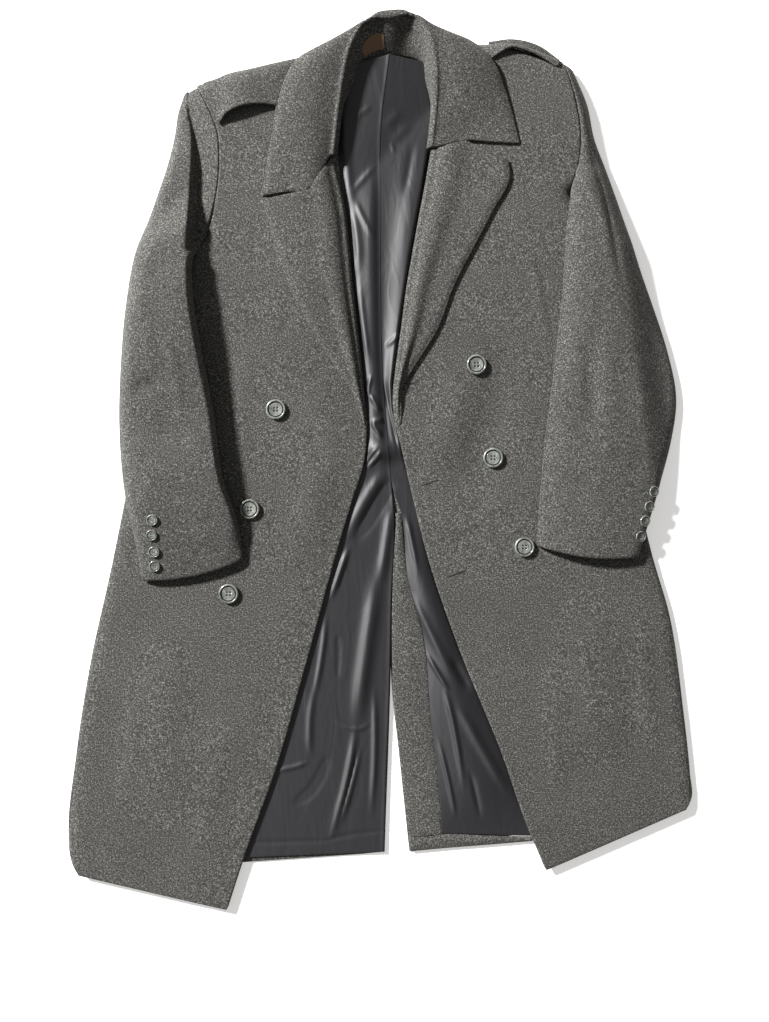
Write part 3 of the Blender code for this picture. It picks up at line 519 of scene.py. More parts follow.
def groove_left(away, part):
    """Swell of the left half: a soft rise over the whole shown width."""
    return GROOVE_LEFT * ease(part)


def lining_half(name, rows, groove, hump, lap, edge_fall, drop, front_edge):
    """A loft from the hidden edge to centre back, raised by creases and bulge, sunk at the seam,
    climbing from the trough to nape and waist, and flat under the front."""
    places = even(rows[:, 2:4], 430)
    outer = through(rows[:, 0:2], places)
    centre = through(rows[:, 2:4], places)
    plan = between(outer, centre, 1.0 - (1.0 - np.linspace(0.0, 1.0, 80)) ** LINING_CLOSER)
    away = np.linalg.norm(plan - centre[:, None], axis=-1)
    edge = np.interp(plan[..., 1], front_edge[:, 1], front_edge[:, 0])
    shown = np.abs(edge) - np.abs(plan[..., 0])
    part = away / (away + np.maximum(shown, 0.0) + 1e-6)
    up = plan[..., 1]
    groove_run = ease((up - GROOVE_FROM[0]) / GROOVE_FROM[1]) * ease((GROOVE_TO[0] - up) / GROOVE_TO[1])
    hump_run = ease((HUMP_TO[0] - up) / HUMP_TO[1]) * ease((up - HUMP_FROM[0]) / HUMP_FROM[1])
    swell = groove(away, part) * groove_run + hump * np.sin(np.pi * part) * hump_run
    under = ease((drop[0] - shown) / drop[1])
    side = ((plan[..., 0] - LINING_BULGE[0]) / LINING_BULGE[2]) ** 2
    bulge = LINING_BULGE[4] * np.exp(-side - ((plan[..., 1] - LINING_BULGE[1]) / LINING_BULGE[3]) ** 2)
    run = unit(TROUGH_LINE[1] - TROUGH_LINE[0])
    beyond = (plan - TROUGH_LINE[0]) @ np.array((-run[1], run[0]))
    above = 0.5 * (np.hypot(beyond, TROUGH_ROUND) + beyond)
    below = 0.5 * (np.hypot(beyond, TROUGH_ROUND) - beyond)
    climb = NAPE_CLIMB[0] * NAPE_CLIMB[1] * (1.0 - np.exp(-above / NAPE_CLIMB[1]))
    waist = WAIST_CLIMB[0] * WAIST_CLIMB[1] * (1.0 - np.exp(-below / WAIST_CLIMB[1]))
    climb = (climb + waist * np.exp(-(below / WAIST_FADE) ** 2)) * (1.0 - edge_fall * part)
    loose = np.maximum(swell + bulge + climb + creased(plan, LINING_CREASES), -DEEPEST)
    loose = SLACK + loose * (1.0 - under) + lap * np.exp(-(away / LAP_WIDTH) ** 2)
    rise = BACK_WALL + SEAM + LINING_WALL / 2 + loose
    made = cloth(name, lifted(plan, rise), LINING_WALL, satin)
    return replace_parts(made, name)


lining_right = lining_half(
    "lining_right", LINING_RIGHT, groove_right, 0.0, SEAM_LAP, WAIST_FALL, DROP_RIGHT, FRONT_RIGHT[:, 2:4],
)
lining_left = lining_half(
    "lining_left", LINING_LEFT, groove_left, SKIRT_HUMP, 0.0, 0.0, DROP_LEFT, FRONT_LEFT[:, 2:4],
)


# Facings: strips of the coat's own wool turned in and felled by hand, one along the vent's
# edge of the left half and one along its hem. The lining is sewn to their raw edges.
FACING_WALL = 0.002
FACING_BOW = 0.0012
# Turned edge x, y, raw edge x, y.
VENT_FACING = np.array((
    (0.0400, -0.4995, 0.0826, -0.4965),
    (0.0310, -0.419, 0.0770, -0.419),
    (0.0205, -0.342, 0.0675, -0.342),
    (0.0160, -0.228, 0.0565, -0.228),
    (0.0172, -0.146, 0.0355, -0.146),
    (0.0205, -0.062, 0.0270, -0.062),
))
HEM_FACING = np.array((
    (0.0410, -0.5190, 0.0405, -0.5005),
    (0.0830, -0.5150, 0.0830, -0.4975),
    (0.1400, -0.5105, 0.1400, -0.4995),
    (0.2050, -0.5050, 0.2050, -0.5010),
))


def facing(name, rows, count):
    """A strip lofted between its two edges, bowed up a little between them."""
    places = even(rows[:, 0:2], count)
    share = np.linspace(0.0, 1.0, 12)
    plan = between(through(rows[:, 0:2], places), through(rows[:, 2:4], places), share)
    rise = BACK_WALL + SEAM + FACING_WALL / 2 + FACING_BOW * np.sin(np.pi * share)[None, :]
    made = cloth(name, lifted(plan, rise), FACING_WALL, wool)
    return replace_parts(made, name)


vent_facing = facing("vent_facing", VENT_FACING, 160)
hem_facing = facing("hem_facing", HEM_FACING, 70)


# The fronts: wool coating over a stiff interlining, faced to the edge, so they lie smooth and
# thick. Each is sewn to the back at side and shoulder, and rounds down to the floor there.
FRONT_WALL = 0.004
EDGE_ROUND = 0.022
# The front's edge is drawn in under the lapel by this much, reached over this run.
LAPEL_INSET = 0.0059
INSET_RUN = 0.05
# Share by which the rows of points lie closer at both edges.
CLOSER = 0.4
# The right front lies down on the lining at its edge: height there, how far in it climbs, and
# the share of that way which it starts with.
EDGE_LEVEL = 0.0076
EDGE_CLIMB = 0.085
EDGE_START = 0.15
# That ends within this distance past the middle, so the left front is clear of it.
EDGE_END = 0.025
# Height of the fronts' middle at the hem, its climb, and from which y over what run.
BODY_LOW = 0.0085
BODY_CLIMB = 0.0115
BODY_RUN = (-0.25, 0.85)
# How squarely the fronts round off at side and shoulder.
ROUND_POWER = 2.5
# Broad folds of the fronts, with the columns of the lining's creases.
FRONT_CREASES = np.array((
    (178, 190, 148, 70, 104, -60, 26, -2.4),
    (120, 160, 96, 60, 64, -40, 26, 2.8),
    (-70, 40, -90, -55, -116, -150, 28, 3.0),
    (-288, -200, -296, -360, -302, -520, 36, 3.2),
    (266, -150, 288, -290, 304, -430, 36, 3.2),
    (-178, 180, -190, 70, -202, -40, 16, 1.4),
    (-98, 66, -86, 25, -74, -16, 10, -1.0),
    (-326, -280, -338, -390, -346, -490, 14, 1.4),
    (-206, -310, -226, -430, -242, -560, 20, 1.6),
    (208, 300, 222, 225, 238, 150, 4, -1.2),
    (201, 300, 214, 225, 230, 150, 8, 1.0),
    (228, -240, 236, -350, 242, -460, 18, 1.5),
    (342, -150, 358, -290, 370, -420, 14, 1.4),
))
# Lines at which the fronts round down: the two sides, run on past the arms, and the shoulders.
RIGHT_SIDE = np.vstack([FRONT_RIGHT[1:13, 0:2], (-0.500, 0.470)])
LEFT_SIDE = np.vstack([FRONT_LEFT[1:14, 0:2], (0.520, 0.530)])[::-1]
SHOULDERS = np.array((
    (-0.330, 0.440), (-0.247, 0.515), (-0.079, 0.561), (-0.050, 0.640), (0.050, 0.640),
    (0.089, 0.566), (0.165, 0.570), (0.242, 0.548), (0.350, 0.480),
))


def side_of(spots, line):
    """Distance of spots from a line of points, above zero on its right hand."""
    run = np.diff(line, axis=0)
    offset = spots[..., None, :] - line[:-1]
    share = np.clip((offset * run).sum(-1) / (run * run).sum(-1), 0.0, 1.0)
    away = np.linalg.norm(offset - share[..., None] * run, axis=-1)
    turn = offset[..., 0] * run[:, 1] - offset[..., 1] * run[:, 0]
    nearest = away - np.abs(turn) / np.linalg.norm(run, axis=1) * 1e-4
    pick = nearest.argmin(-1)[..., None]
    sign = np.where(np.take_along_axis(turn, pick, -1)[..., 0] < 0, -1.0, 1.0)
    return np.take_along_axis(away, pick, -1)[..., 0] * sign


def body_height(spots, wider=0.0):
    """Height of the middle of the fronts: it climbs from hem to shoulder, carries the creases,
    and rounds off within a set distance of the side and shoulder lines, let out by wider."""
    rise = BODY_LOW + BODY_CLIMB * ease((spots[..., 1] - BODY_RUN[0]) / BODY_RUN[1])
    from_edge = np.abs(side_of(spots, FRONT_RIGHT[:, 2:4]))
    past_middle = np.maximum(spots[..., 0], 0.0) / EDGE_END
    rise = EDGE_LEVEL + (rise - EDGE_LEVEL) * ease(EDGE_START + from_edge / EDGE_CLIMB + past_middle)
    rise = rise + creased(spots, FRONT_CREASES)
    inside = np.minimum(side_of(spots, RIGHT_SIDE), side_of(spots, LEFT_SIDE))
    inside = np.minimum(inside, side_of(spots, SHOULDERS)) + wider
    fall = 1.0 - np.clip(inside / EDGE_ROUND, 0.0, 1.0)
    low = BACK_WALL + SEAM + FRONT_WALL / 2
    return low + (rise - low) * np.sqrt(1.0 - fall ** ROUND_POWER)


def front(name, rows, bow, break_at, side):
    """A loft from side to front edge on the body's height, its edge drawn in under the lapel."""
    places = even(rows[:, 2:4], 270)
    inner = through(rows[:, 2:4], places)
    inner[:, 0] += side * LAPEL_INSET * ease((inner[:, 1] - break_at) / INSET_RUN)
    share = np.linspace(0.0, 1.0, 84)
    share = share - CLOSER * np.sin(2.0 * np.pi * share) / (2.0 * np.pi)
    plan = between(through(rows[:, 0:2], places), inner, share)
    plan[..., 1] += 4.0 * bow * (share * (1 - share))[None, :] * ease(places - len(rows) + 3)[:, None]
    made = cloth(name, lifted(plan, body_height(plan)), FRONT_WALL, wool)
    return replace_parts(made, name)


front_right = front("front_right", FRONT_RIGHT, 0.0, 0.056, -1.0)
front_left = front("front_left", FRONT_LEFT, SHOULDER_BOW_LEFT, 0.058, 1.0)


# The lapels: the tops of the fronts turned back. Each rolls round the front's edge in a soft
# bend, springs up a little beside the roll, and lies flat towards its pressed outer edge.
LAPEL_WALL = 0.0035
# The spring beside the roll: height, then its middle, width and start as shares of the lapel.
LAPEL_ROLL = 0.0045
SPRING_AT = (0.20, 0.18, 0.12)
# The roll's radius at the break, and the rows over which it grows.
BREAK_BEND = 0.0012
BREAK_ROWS = 1.6
# The roll's turn, from under the front's edge to the face, in degrees.
ROLL_TURN = (-85.0, 78.0)
# Pressed edge of lapel and collar: how far it is flattened, and how far in it fades.
PRESSED = (0.0016, 0.0045)
# Share of the way from roll to outer edge at which the notch lies.
NOTCH_SHARE = 0.40
# Share of the width over which the face rises, and rows over which the spring sets in at the
# break and the top is drawn to the gorge.
FACE_SHARE = 0.4
SPRING_ROWS = 3
GORGE_ROWS = 3
# Break to gorge: roll x, y, outer edge x, y.
LAPEL_RIGHT = np.array((
    (-0.0200, 0.056, -0.0235, 0.062),
    (-0.0215, 0.085, -0.0360, 0.098),
    (-0.0245, 0.125, -0.0580, 0.133),
    (-0.0310, 0.186, -0.0870, 0.178),
    (-0.0380, 0.250, -0.1200, 0.243),
    (-0.0420, 0.295, -0.1380, 0.289),
    (-0.0480, 0.350, -0.1520, 0.340),
    (-0.0634, 0.4165, -0.1600, 0.3560),
))
LAPEL_LEFT = np.array((
    (0.0215, 0.058, 0.0270, 0.060),
    (0.0165, 0.080, 0.0270, 0.082),
    (0.0165, 0.104, 0.0262, 0.103),
    (0.0190, 0.128, 0.0365, 0.123),
    (0.0270, 0.186, 0.0750, 0.185),
    (0.0340, 0.239, 0.0980, 0.245),
    (0.0430, 0.292, 0.1240, 0.295),
    (0.0520, 0.342, 0.1480, 0.341),
    (0.0590, 0.378, 0.1720, 0.395),
    (0.0670, 0.4245, 0.1690, 0.4095),
))
LAPEL_NOTCH_RIGHT = np.array((-0.0951, 0.3700))
LAPEL_NOTCH_LEFT = np.array((0.1135, 0.4345))


def bent(start, corner, finish, share):
    """A line from start to finish bent at the notch."""
    table = np.array([start, corner, finish])
    shares = (0.0, NOTCH_SHARE, 1.0)
    return np.stack([np.interp(share, shares, column) for column in table.T], -1)


def lapel(name, rows, notch):
    """A half turn round the front's edge, then a loft to the outer edge lying on the front."""
    places = even(rows[:, 2:4], 150)
    roll = through(rows[:, 0:2], places)
    outer = through(rows[:, 2:4], places)
    inward = unit(roll - outer)
    full = FRONT_WALL / 2 + SEAM + LAPEL_WALL / 2
    bend = BREAK_BEND + (full - BREAK_BEND) * ease(places / BREAK_ROWS)
    core = roll - inward * (bend[:, None] + LAPEL_WALL / 2)
    share = np.linspace(0.0, 1.0, 44)
    plan = between(core, outer, share)
    top = bent(core[-1], notch, outer[-1], share)
    upper = ease((places - len(rows) + 1 + GORGE_ROWS) / GORGE_ROWS)[:, None, None]
    plan = plan + (top - plan[-1])[None] * upper
    spring = LAPEL_ROLL * np.exp(-((share - SPRING_AT[0]) / SPRING_AT[1]) ** 2) * ease(share / SPRING_AT[2])
    rise = body_height(plan) + bend[:, None] + spring[None, :] * ease(places / SPRING_ROWS)[:, None]
    away = np.linalg.norm(plan - plan[:, -1:], axis=-1)
    rise = rise + PRESSED[0] * (ease(share / FACE_SHARE)[None, :] - np.exp(-(away / PRESSED[1]) ** 2))
    turn = np.radians(np.linspace(*ROLL_TURN, 9))[None, :]
    around = core[:, None] + inward[:, None] * (bend[:, None] * np.cos(turn))[..., None]
    height = rise[:, :1] - bend[:, None] + bend[:, None] * np.sin(turn)
    made = cloth(name, np.concatenate([lifted(around, height), lifted(plan, rise)], axis=1), LAPEL_WALL, wool)
    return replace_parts(made, name)


lapel_right = lapel("lapel_right", LAPEL_RIGHT, LAPEL_NOTCH_RIGHT)
lapel_left = lapel("lapel_left", LAPEL_LEFT, LAPEL_NOTCH_LEFT)


# The collar: one strip of interlined wool that stands up from the neck seam, turns over at the
# roll and falls to its outer edge. Its two ends are sewn to the lapels at the gorge.
COLLAR_WALL = 0.0035
COLLAR_SPRING = 0.004
# The roll's bend: how far in and down its stand side lies, and how far out and down its fall side.
ROLL_IN = (0.0045, 0.006)
ROLL_OUT = (0.0070, 0.0012)
# Share of the way up the stand at which its middle post lies.
STAND_MIDDLE = 0.45
# Rows over which each end is drawn to the notch.
COLLAR_ENDS = 1.2
# Right end round the nape to left end: neck seam x, y, z, roll x, y, z, outer edge x, y, z.
COLLAR = np.array((
    (-0.0700, 0.4200, 0.0110, -0.0640, 0.420, 0.0200, -0.158, 0.3645, 0.0220),
    (-0.0540, 0.4840, 0.0120, -0.0570, 0.477, 0.0260, -0.144, 0.446, 0.0255),
    (-0.0380, 0.5190, 0.0090, -0.0500, 0.522, 0.0300, -0.133, 0.502, 0.0265),
    (-0.0240, 0.5470, 0.0066, -0.0400, 0.559, 0.0340, -0.111, 0.545, 0.0240),
    (-0.0060, 0.5545, 0.0060, -0.0180, 0.590, 0.0385, -0.062, 0.572, 0.0120),
    (0.0120, 0.5570, 0.0060, 0.0140, 0.594, 0.0415, 0.014, 0.600, 0.0050),
    (0.0350, 0.5580, 0.0060, 0.0430, 0.595, 0.0425, 0.071, 0.587, 0.0120),
    (0.0540, 0.5510, 0.0066, 0.0660, 0.563, 0.0430, 0.118, 0.570, 0.0250),
    (0.0620, 0.5220, 0.0090, 0.0730, 0.525, 0.0400, 0.148, 0.541, 0.0295),
    (0.0690, 0.4900, 0.0130, 0.0730, 0.484, 0.0330, 0.166, 0.501, 0.0260),
    (0.0740, 0.4280, 0.0160, 0.0675, 0.428, 0.0265, 0.185, 0.434, 0.0230),
))
COLLAR_NOTCH_RIGHT = np.array((-0.095, 0.3740, 0.0222))
COLLAR_NOTCH_LEFT = np.array((0.1135, 0.4375, 0.0240))


def passing(count, places):
    """Weights by which a smooth curve through count points is read at the places."""
    row = np.clip(np.floor(places).astype(int), 0, count - 2)
    part = places - row
    weights = np.zeros((len(places), count))
    shares = (
        -0.5 * part + part ** 2 - 0.5 * part ** 3, 1.0 - 2.5 * part ** 2 + 1.5 * part ** 3,
        0.5 * part + 2.0 * part ** 2 - 1.5 * part ** 3, -0.5 * part ** 2 + 0.5 * part ** 3,
    )
    for step, share in enumerate(shares):
        np.add.at(weights, (np.arange(len(places)), np.clip(row + step - 1, 0, count - 1)), share)
    return weights


def collar_grid(places, across):
    """Collar points: at each place along, a smooth curve over neck seam, stand, roll and fall."""
    seam = through(COLLAR[:, 0:3], places)
    roll = through(COLLAR[:, 3:6], places)
    edge = through(COLLAR[:, 6:9], places)
    up = np.array((0.0, 0.0, 1.0))
    outward = unit(through(unit((COLLAR[:, 6:9] - COLLAR[:, 3:6]) * (1.0, 1.0, 0.0)), places))
    fall = roll * (1.0 - NOTCH_SHARE) + edge * NOTCH_SHARE + up * COLLAR_SPRING
    last = len(COLLAR) - 1
    right_end = ease((COLLAR_ENDS - places) / COLLAR_ENDS)[:, None]
    left_end = ease((places - last + COLLAR_ENDS) / COLLAR_ENDS)[:, None]
    fall = fall + (COLLAR_NOTCH_RIGHT - fall[:1]) * right_end + (COLLAR_NOTCH_LEFT - fall[-1:]) * left_end
    inside = roll - outward * ROLL_IN[0] - up * ROLL_IN[1]
    over = roll + outward * ROLL_OUT[0] - up * ROLL_OUT[1]
    middle = seam * (1.0 - STAND_MIDDLE) + inside * STAND_MIDDLE
    low = fall * 0.5 + edge * 0.5 + up * COLLAR_SPRING * 0.5 * (1.0 - right_end) * (1.0 - left_end)
    posts = np.stack([seam, middle, inside, roll, over, fall, low, edge], axis=1)
    grid = np.einsum("mk,rkc->rmc", passing(8, across), posts)
    away = np.linalg.norm(grid - edge[:, None], axis=-1)
    grid[..., 2] -= PRESSED[0] * np.exp(-(away / PRESSED[1]) ** 2)
    return grid


collar_along = even(COLLAR[:, 6:9], 200)
collar_across = np.concatenate([
    np.linspace(0.0, 2.0, 10), np.linspace(2.2, 4.0, 12), np.linspace(4.12, 7.0, 28),
])
collar = cloth("collar", collar_grid(collar_along, collar_across), COLLAR_WALL, wool)
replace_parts(collar, "collar_fall", "collar_stand")


# The label: a small woven patch sewn by its edges to the inside of the collar stand. It is left
# bare, in one dark brown tone.
LABEL_WALL = 0.0008
# Rows of the collar that it spans, and posts of the collar from the neck seam up.
LABEL_ALONG = (3.25, 4.62)
LABEL_DOWN = (0.55, 1.32)
label_cloth, _, _ = finish_of("dark brown woven label", {"Base Color": linear("#6b5238"), "Roughness": 0.6})
patch = collar_grid(np.linspace(*LABEL_ALONG, 30), np.linspace(*LABEL_DOWN, 14))
patch_out = unit(np.cross(np.gradient(patch, axis=1), np.gradient(patch, axis=0)))
patch_out = patch_out * np.sign(patch_out[..., 2:3])
label = cloth("label", patch + patch_out * (COLLAR_WALL / 2 + LABEL_WALL / 2), LABEL_WALL, label_cloth)
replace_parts(label, "label")


# The sleeves: two-piece sleeves of the same wool, set into the armholes, hollow and flattened.
# The right one stands on its front fold and leaves a deep crevice beside the body; the left one
# lies flat with a soft trough down its middle.
SLEEVE_WALL = 0.0028
SLEEVE_COLUMNS = 60
# Gap to the front, and distances off the body's side over which a sleeve climbs onto it.
SLEEVE_LAY = 0.0012
SLEEVE_RAMP = 0.066
SLEEVE_CLEAR = 0.014
# Shares of the width: the fold's trough, and the fall of the cloth past the crest.
FOLD_WIDTH = 0.11
CREST_FALL = 0.07
# The cuff's edge bows out by this much, and that fades over these rows.
CUFF_BOW = 0.0085
CUFF_ROWS = 1.5
# Rows over which the crest's drop sets in and the armhole comes down to the front, and its radius.
DROP_ROWS = 0.8
BESIDE_ROWS = 2.0
SEAM_ROUND = 0.0045
# Cuff to armhole: outer edge x, y, inner edge x, y, loft, fold's share, fold's depth.
SLEEVE_RIGHT = np.array((
    (-0.3210, -0.151, -0.1850, -0.123, 0.003, 1.00, 0.00),
    (-0.3280, -0.108, -0.1900, -0.080, 0.011, 1.00, 0.00),
    (-0.3425, -0.037, -0.2100, -0.017, 0.020, 1.00, 0.00),
    (-0.3500, 0.057, -0.2230, 0.074, 0.0205, 1.00, 0.00),
    (-0.3480, 0.145, -0.2410, 0.170, 0.0255, 1.00, 0.00),
    (-0.3425, 0.215, -0.2500, 0.236, 0.0250, 0.99, 0.00),
    (-0.3310, 0.285, -0.2490, 0.280, 0.0185, 0.90, 0.00),
    (-0.3200, 0.318, -0.2344, 0.312, 0.0140, 0.74, 0.00),
    (-0.3030, 0.365, -0.2194, 0.365, 0.0205, 0.57, 0.00),
    (-0.2880, 0.410, -0.2149, 0.412, 0.0185, 0.47, 0.00),
    (-0.2790, 0.449, -0.2174, 0.449, 0.0115, 0.38, 0.00),
    (-0.2740, 0.482, -0.2309, 0.484, 0.0075, 0.30, 0.00),
    (-0.2670, 0.504, -0.2474, 0.515, 0.004, 0.30, 0.00),
))
SLEEVE_LEFT = np.array((
    (0.3460, -0.119, 0.2095, -0.104, 0.008, 0.60, 0.00),
    (0.3605, -0.071, 0.2125, -0.057, 0.009, 0.65, 0.06),
    (0.3770, -0.017, 0.2165, -0.004, 0.010, 0.70, 0.12),
    (0.3930, 0.037, 0.2200, 0.036, 0.011, 0.72, 0.16),
    (0.4000, 0.091, 0.2260, 0.083, 0.012, 0.72, 0.18),
    (0.3875, 0.159, 0.2350, 0.156, 0.0125, 0.68, 0.14),
    (0.3700, 0.213, 0.2420, 0.223, 0.0125, 0.60, 0.05),
    (0.3500, 0.267, 0.2450, 0.263, 0.012, 0.50, 0.00),
    (0.3320, 0.320, 0.2475, 0.310, 0.011, 0.50, 0.00),
    (0.3155, 0.371, 0.2549, 0.369, 0.010, 0.50, 0.00),
    (0.3035, 0.406, 0.2634, 0.406, 0.009, 0.50, 0.00),
    (0.2890, 0.446, 0.2664, 0.446, 0.007, 0.50, 0.00),
    (0.2800, 0.490, 0.2594, 0.493, 0.005, 0.50, 0.00),
    (0.2610, 0.537, 0.2424, 0.548, 0.003, 0.50, 0.00),
))
SEAM_ROW_RIGHT = 7
SEAM_ROW_LEFT = 9
ON_BODY_RIGHT = np.vstack([FRONT_RIGHT[1:13, 0:2], (-0.10, 0.36)])
ON_BODY_LEFT = np.vstack([FRONT_LEFT[1:14, 0:2], (0.12, 0.41)])[::-1]
# Outer edge: radius it turns at, and share of the loft that it keeps.
OUTER_EDGE = 0.013
OUTER_FULL = 0.42
# Inner edge of each sleeve: radius it turns at, and at the cuff, share of the loft it keeps, how
# square the inner and outer halves are, row from which the cloth past the crest drops, and how much.
INNER_RIGHT = (0.007, 0.026, 0.92, 5.0, 5.0, 6.0, 1.0)
INNER_LEFT = (0.022, 0.014, 0.0, 2.2, 1.8, 9.0, 0.0)
SLEEVE_CREASES_RIGHT = np.array((
    (-306, 64, -276, 46, -246, 26, 9, -1.8),
    (-338, 88, -310, 106, -282, 124, 10, -2.0),
    (-278, 190, -270, 120, -258, 50, 8, 1.2),
    (-318, 240, -308, 180, -298, 120, 10, 1.4),
    (-300, -20, -262, -36, -222, -40, 10, -1.4),
))
SLEEVE_CREASES_LEFT = np.array((
    (274, 452, 303, 332, 328, 200, 4.5, -2.6),
    (284, 420, 296, 330, 312, 240, 12, 1.6),
    (274, 190, 280, 110, 288, 30, 9, -2.2),
    (298, 176, 302, 110, 304, 50, 10, 1.4),
    (338, 160, 348, 100, 352, 50, 10, 1.2),
    (296, 22, 325, 8, 356, -14, 9, -1.4),
))


def sleeve_faces(rows, body, seam_row, inner_edge, creases, places, share):
    """Plan spots of a sleeve, and the heights of its upper and under faces: floor beside the body,
    over the front on it, lofted between the edges, folded, level with the front at the seam."""
    outer = through(rows[:, 0:2], places)
    inner = through(rows[:, 2:4], places)
    plan = between(outer, inner, share)
    at_cuff = ease(1.0 - places / CUFF_ROWS)[:, None]
    plan[..., 1] -= 4.0 * CUFF_BOW * share * (1.0 - share) * at_cuff
    loft, fold, depth = (passing(len(rows), places) @ rows[:, 4:7]).T[:, :, None]
    at_seam = ease(places - seam_row + 1.0)[:, None]
    radius, cuff_radius, hold, square, outer_square, drop_row, drop = inner_edge
    past = ease((places - drop_row) / DROP_ROWS)[:, None]
    beyond = drop * ease((share - fold) / CREST_FALL) * past
    climb = ease((side_of(plan, body) + SLEEVE_RAMP) / (SLEEVE_RAMP - SLEEVE_CLEAR)) * (1.0 - beyond)
    over = body_height(plan, SLEEVE_RAMP) + FRONT_WALL / 2 + SLEEVE_LAY
    under = SEAM + (over - SEAM) * climb
    top = under + 2.0 * SLEEVE_WALL + SEAM
    beside = body_height(plan[:, -1:], SLEEVE_RAMP)
    upper = ease((places - seam_row - 1.0) / BESIDE_ROWS)[:, None]
    beside = beside + (body_height(plan[:, -1:]) - beside) * upper
    level = np.maximum(beside + SLEEVE_WALL / 2 - top[:, -1:], 0.0) * at_seam
    dip = depth * np.exp(-((share - fold) / FOLD_WIDTH) ** 2)
    full = 1.0 - np.abs(2.0 * share - 1.0) ** np.where(share < 0.5, outer_square, square)
    keep = OUTER_FULL + (hold - OUTER_FULL) * ease(share)
    full = full + keep * (1.0 - full) * (1.0 - np.maximum(past, at_seam) * ease(share * 2.0 - 1.0))
    top = top + loft * full * (1.0 - dip) * (1.0 - beyond) + level * share * (beyond if drop else 1.0)
    top = top + creased(plan, creases)
    wide = np.linalg.norm(outer - inner, axis=-1)[:, None]
    soft_in = radius + (cuff_radius - radius) * at_cuff
    soft_in = soft_in + (SEAM_ROUND - soft_in) * at_seam
    rounds = 1.0 - np.clip(1.0 - share * wide / OUTER_EDGE, 0.0, 1.0) ** 2
    rounds = rounds * (1.0 - np.clip(1.0 - (1.0 - share) * wide / soft_in, 0.0, 1.0) ** 2)
    middle = (top + under) / 2
    reach = (top - under) / 2 * np.sqrt(rounds)
    return plan, middle + reach, middle - reach


def sleeve(side, rows, body, seam_row, inner_edge, creases):
    """A tube of cloth: a ring over the upper face and back along the under face at each place,
    with a second ring one wall inside it, the two joined at the cuff and at the armhole. The right
    one's rings run the other way round, so its quads are reversed."""
    places = even(rows[:, 0:2], 170)
    share = (1.0 - np.cos(np.linspace(0.0, np.pi, SLEEVE_COLUMNS))) / 2.0
    plan, top, under = sleeve_faces(rows, body, seam_row, inner_edge, creases, places, share)
    skin = np.concatenate([lifted(plan, top), lifted(plan, under)[:, -2:0:-1]], axis=1)
    along = np.gradient(skin, axis=0)
    round_ring = np.roll(skin, -1, axis=1) - np.roll(skin, 1, axis=1)
    out = unit(np.cross(round_ring, along))
    out = out * np.sign(out[:, SLEEVE_COLUMNS // 4:SLEEVE_COLUMNS * 3 // 4, 2].mean())
    inside = skin - out * SLEEVE_WALL
    lip = (skin[:1] + inside[:1]) / 2 - unit(along[:1]) * SLEEVE_WALL / 2
    rings = np.concatenate([skin[::-1], lip, inside])
    numbers = np.arange(rings.shape[0] * rings.shape[1]).reshape(rings.shape[:2])
    numbers = np.vstack([numbers, numbers[:1]])
    quads = net(np.hstack([numbers, numbers[:, :1]]))
    if side == "right":
        quads = quads[:, ::-1]
    made = piece_of("sleeve_" + side, rings, quads, wool)
    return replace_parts(made, "top_sleeve_" + side, "under_sleeve_" + side)


ARM_RIGHT = (SLEEVE_RIGHT, ON_BODY_RIGHT, SEAM_ROW_RIGHT, INNER_RIGHT, SLEEVE_CREASES_RIGHT)
ARM_LEFT = (SLEEVE_LEFT, ON_BODY_LEFT, SEAM_ROW_LEFT, INNER_LEFT, SLEEVE_CREASES_LEFT)
sleeve_right = sleeve("right", *ARM_RIGHT)
sleeve_left = sleeve("left", *ARM_LEFT)


# The shoulder straps: doubled wool, sewn in with the sleeve at one end and held at the collar.
# Each lies along the shoulder with its front edge bowed up off the cloth.
STRAP_WALL = 0.0035
# Sleeve end to collar end: front edge x, y, back edge x, y.
STRAP_RIGHT = np.array((
    (-0.2160, 0.4600, -0.2370, 0.5150),
    (-0.2080, 0.4700, -0.2100, 0.5280),
    (-0.1920, 0.4785, -0.1870, 0.5335),
    (-0.1600, 0.4850, -0.1600, 0.5375),
    (-0.1180, 0.4800, -0.1020, 0.5520),
))
STRAP_LEFT = np.array((
    (0.2360, 0.5370, 0.2400, 0.5500),
    (0.2050, 0.5530, 0.2130, 0.5670),
    (0.1760, 0.5610, 0.1760, 0.5760),
    (0.1490, 0.5480, 0.1470, 0.5740),
))
STRAP_BOW_RIGHT = 0.0085
STRAP_BOW_LEFT = 0.0080
# Power that draws the bow to its middle, and share it loses towards the back edge.
BOW_POWER = 1.5
BOW_FADE = 0.6


def strap(name, rows, bow):
    """A loft between its two edges lying on the front, its front edge in a bow between the ends."""
    places = even(rows[:, 0:2], 60)
    share = np.linspace(0.0, 1.0, 26)
    plan = between(through(rows[:, 0:2], places), through(rows[:, 2:4], places), share)
    arch = bow * np.sin(np.pi * places / (len(rows) - 1))[:, None] ** BOW_POWER
    arch = arch * (1.0 - BOW_FADE * share)[None, :]
    rise = body_height(plan) + FRONT_WALL / 2 + SEAM + STRAP_WALL / 2 + arch
    made = cloth(name, lifted(plan, rise), STRAP_WALL, wool)
    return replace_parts(made, name)


strap_right = strap("strap_right", STRAP_RIGHT, STRAP_BOW_RIGHT)
strap_left = strap("strap_left", STRAP_LEFT, STRAP_BOW_LEFT)


# The buttons: turned horn-coloured plastic with a raised rim, a groove, a dished middle and four
# holes, sewn on with dark thread. Six lie on the fronts and four smaller ones on each cuff.
FRONT_BUTTON = 0.027
CUFF_BUTTON = 0.015
BUTTON_SPOTS_RIGHT = ((-0.1410, 0.078), (-0.1765, -0.056), (-0.2050, -0.170))
BUTTON_SPOTS_LEFT = ((0.1285, 0.138), (0.1515, 0.013), (0.1935, -0.107))
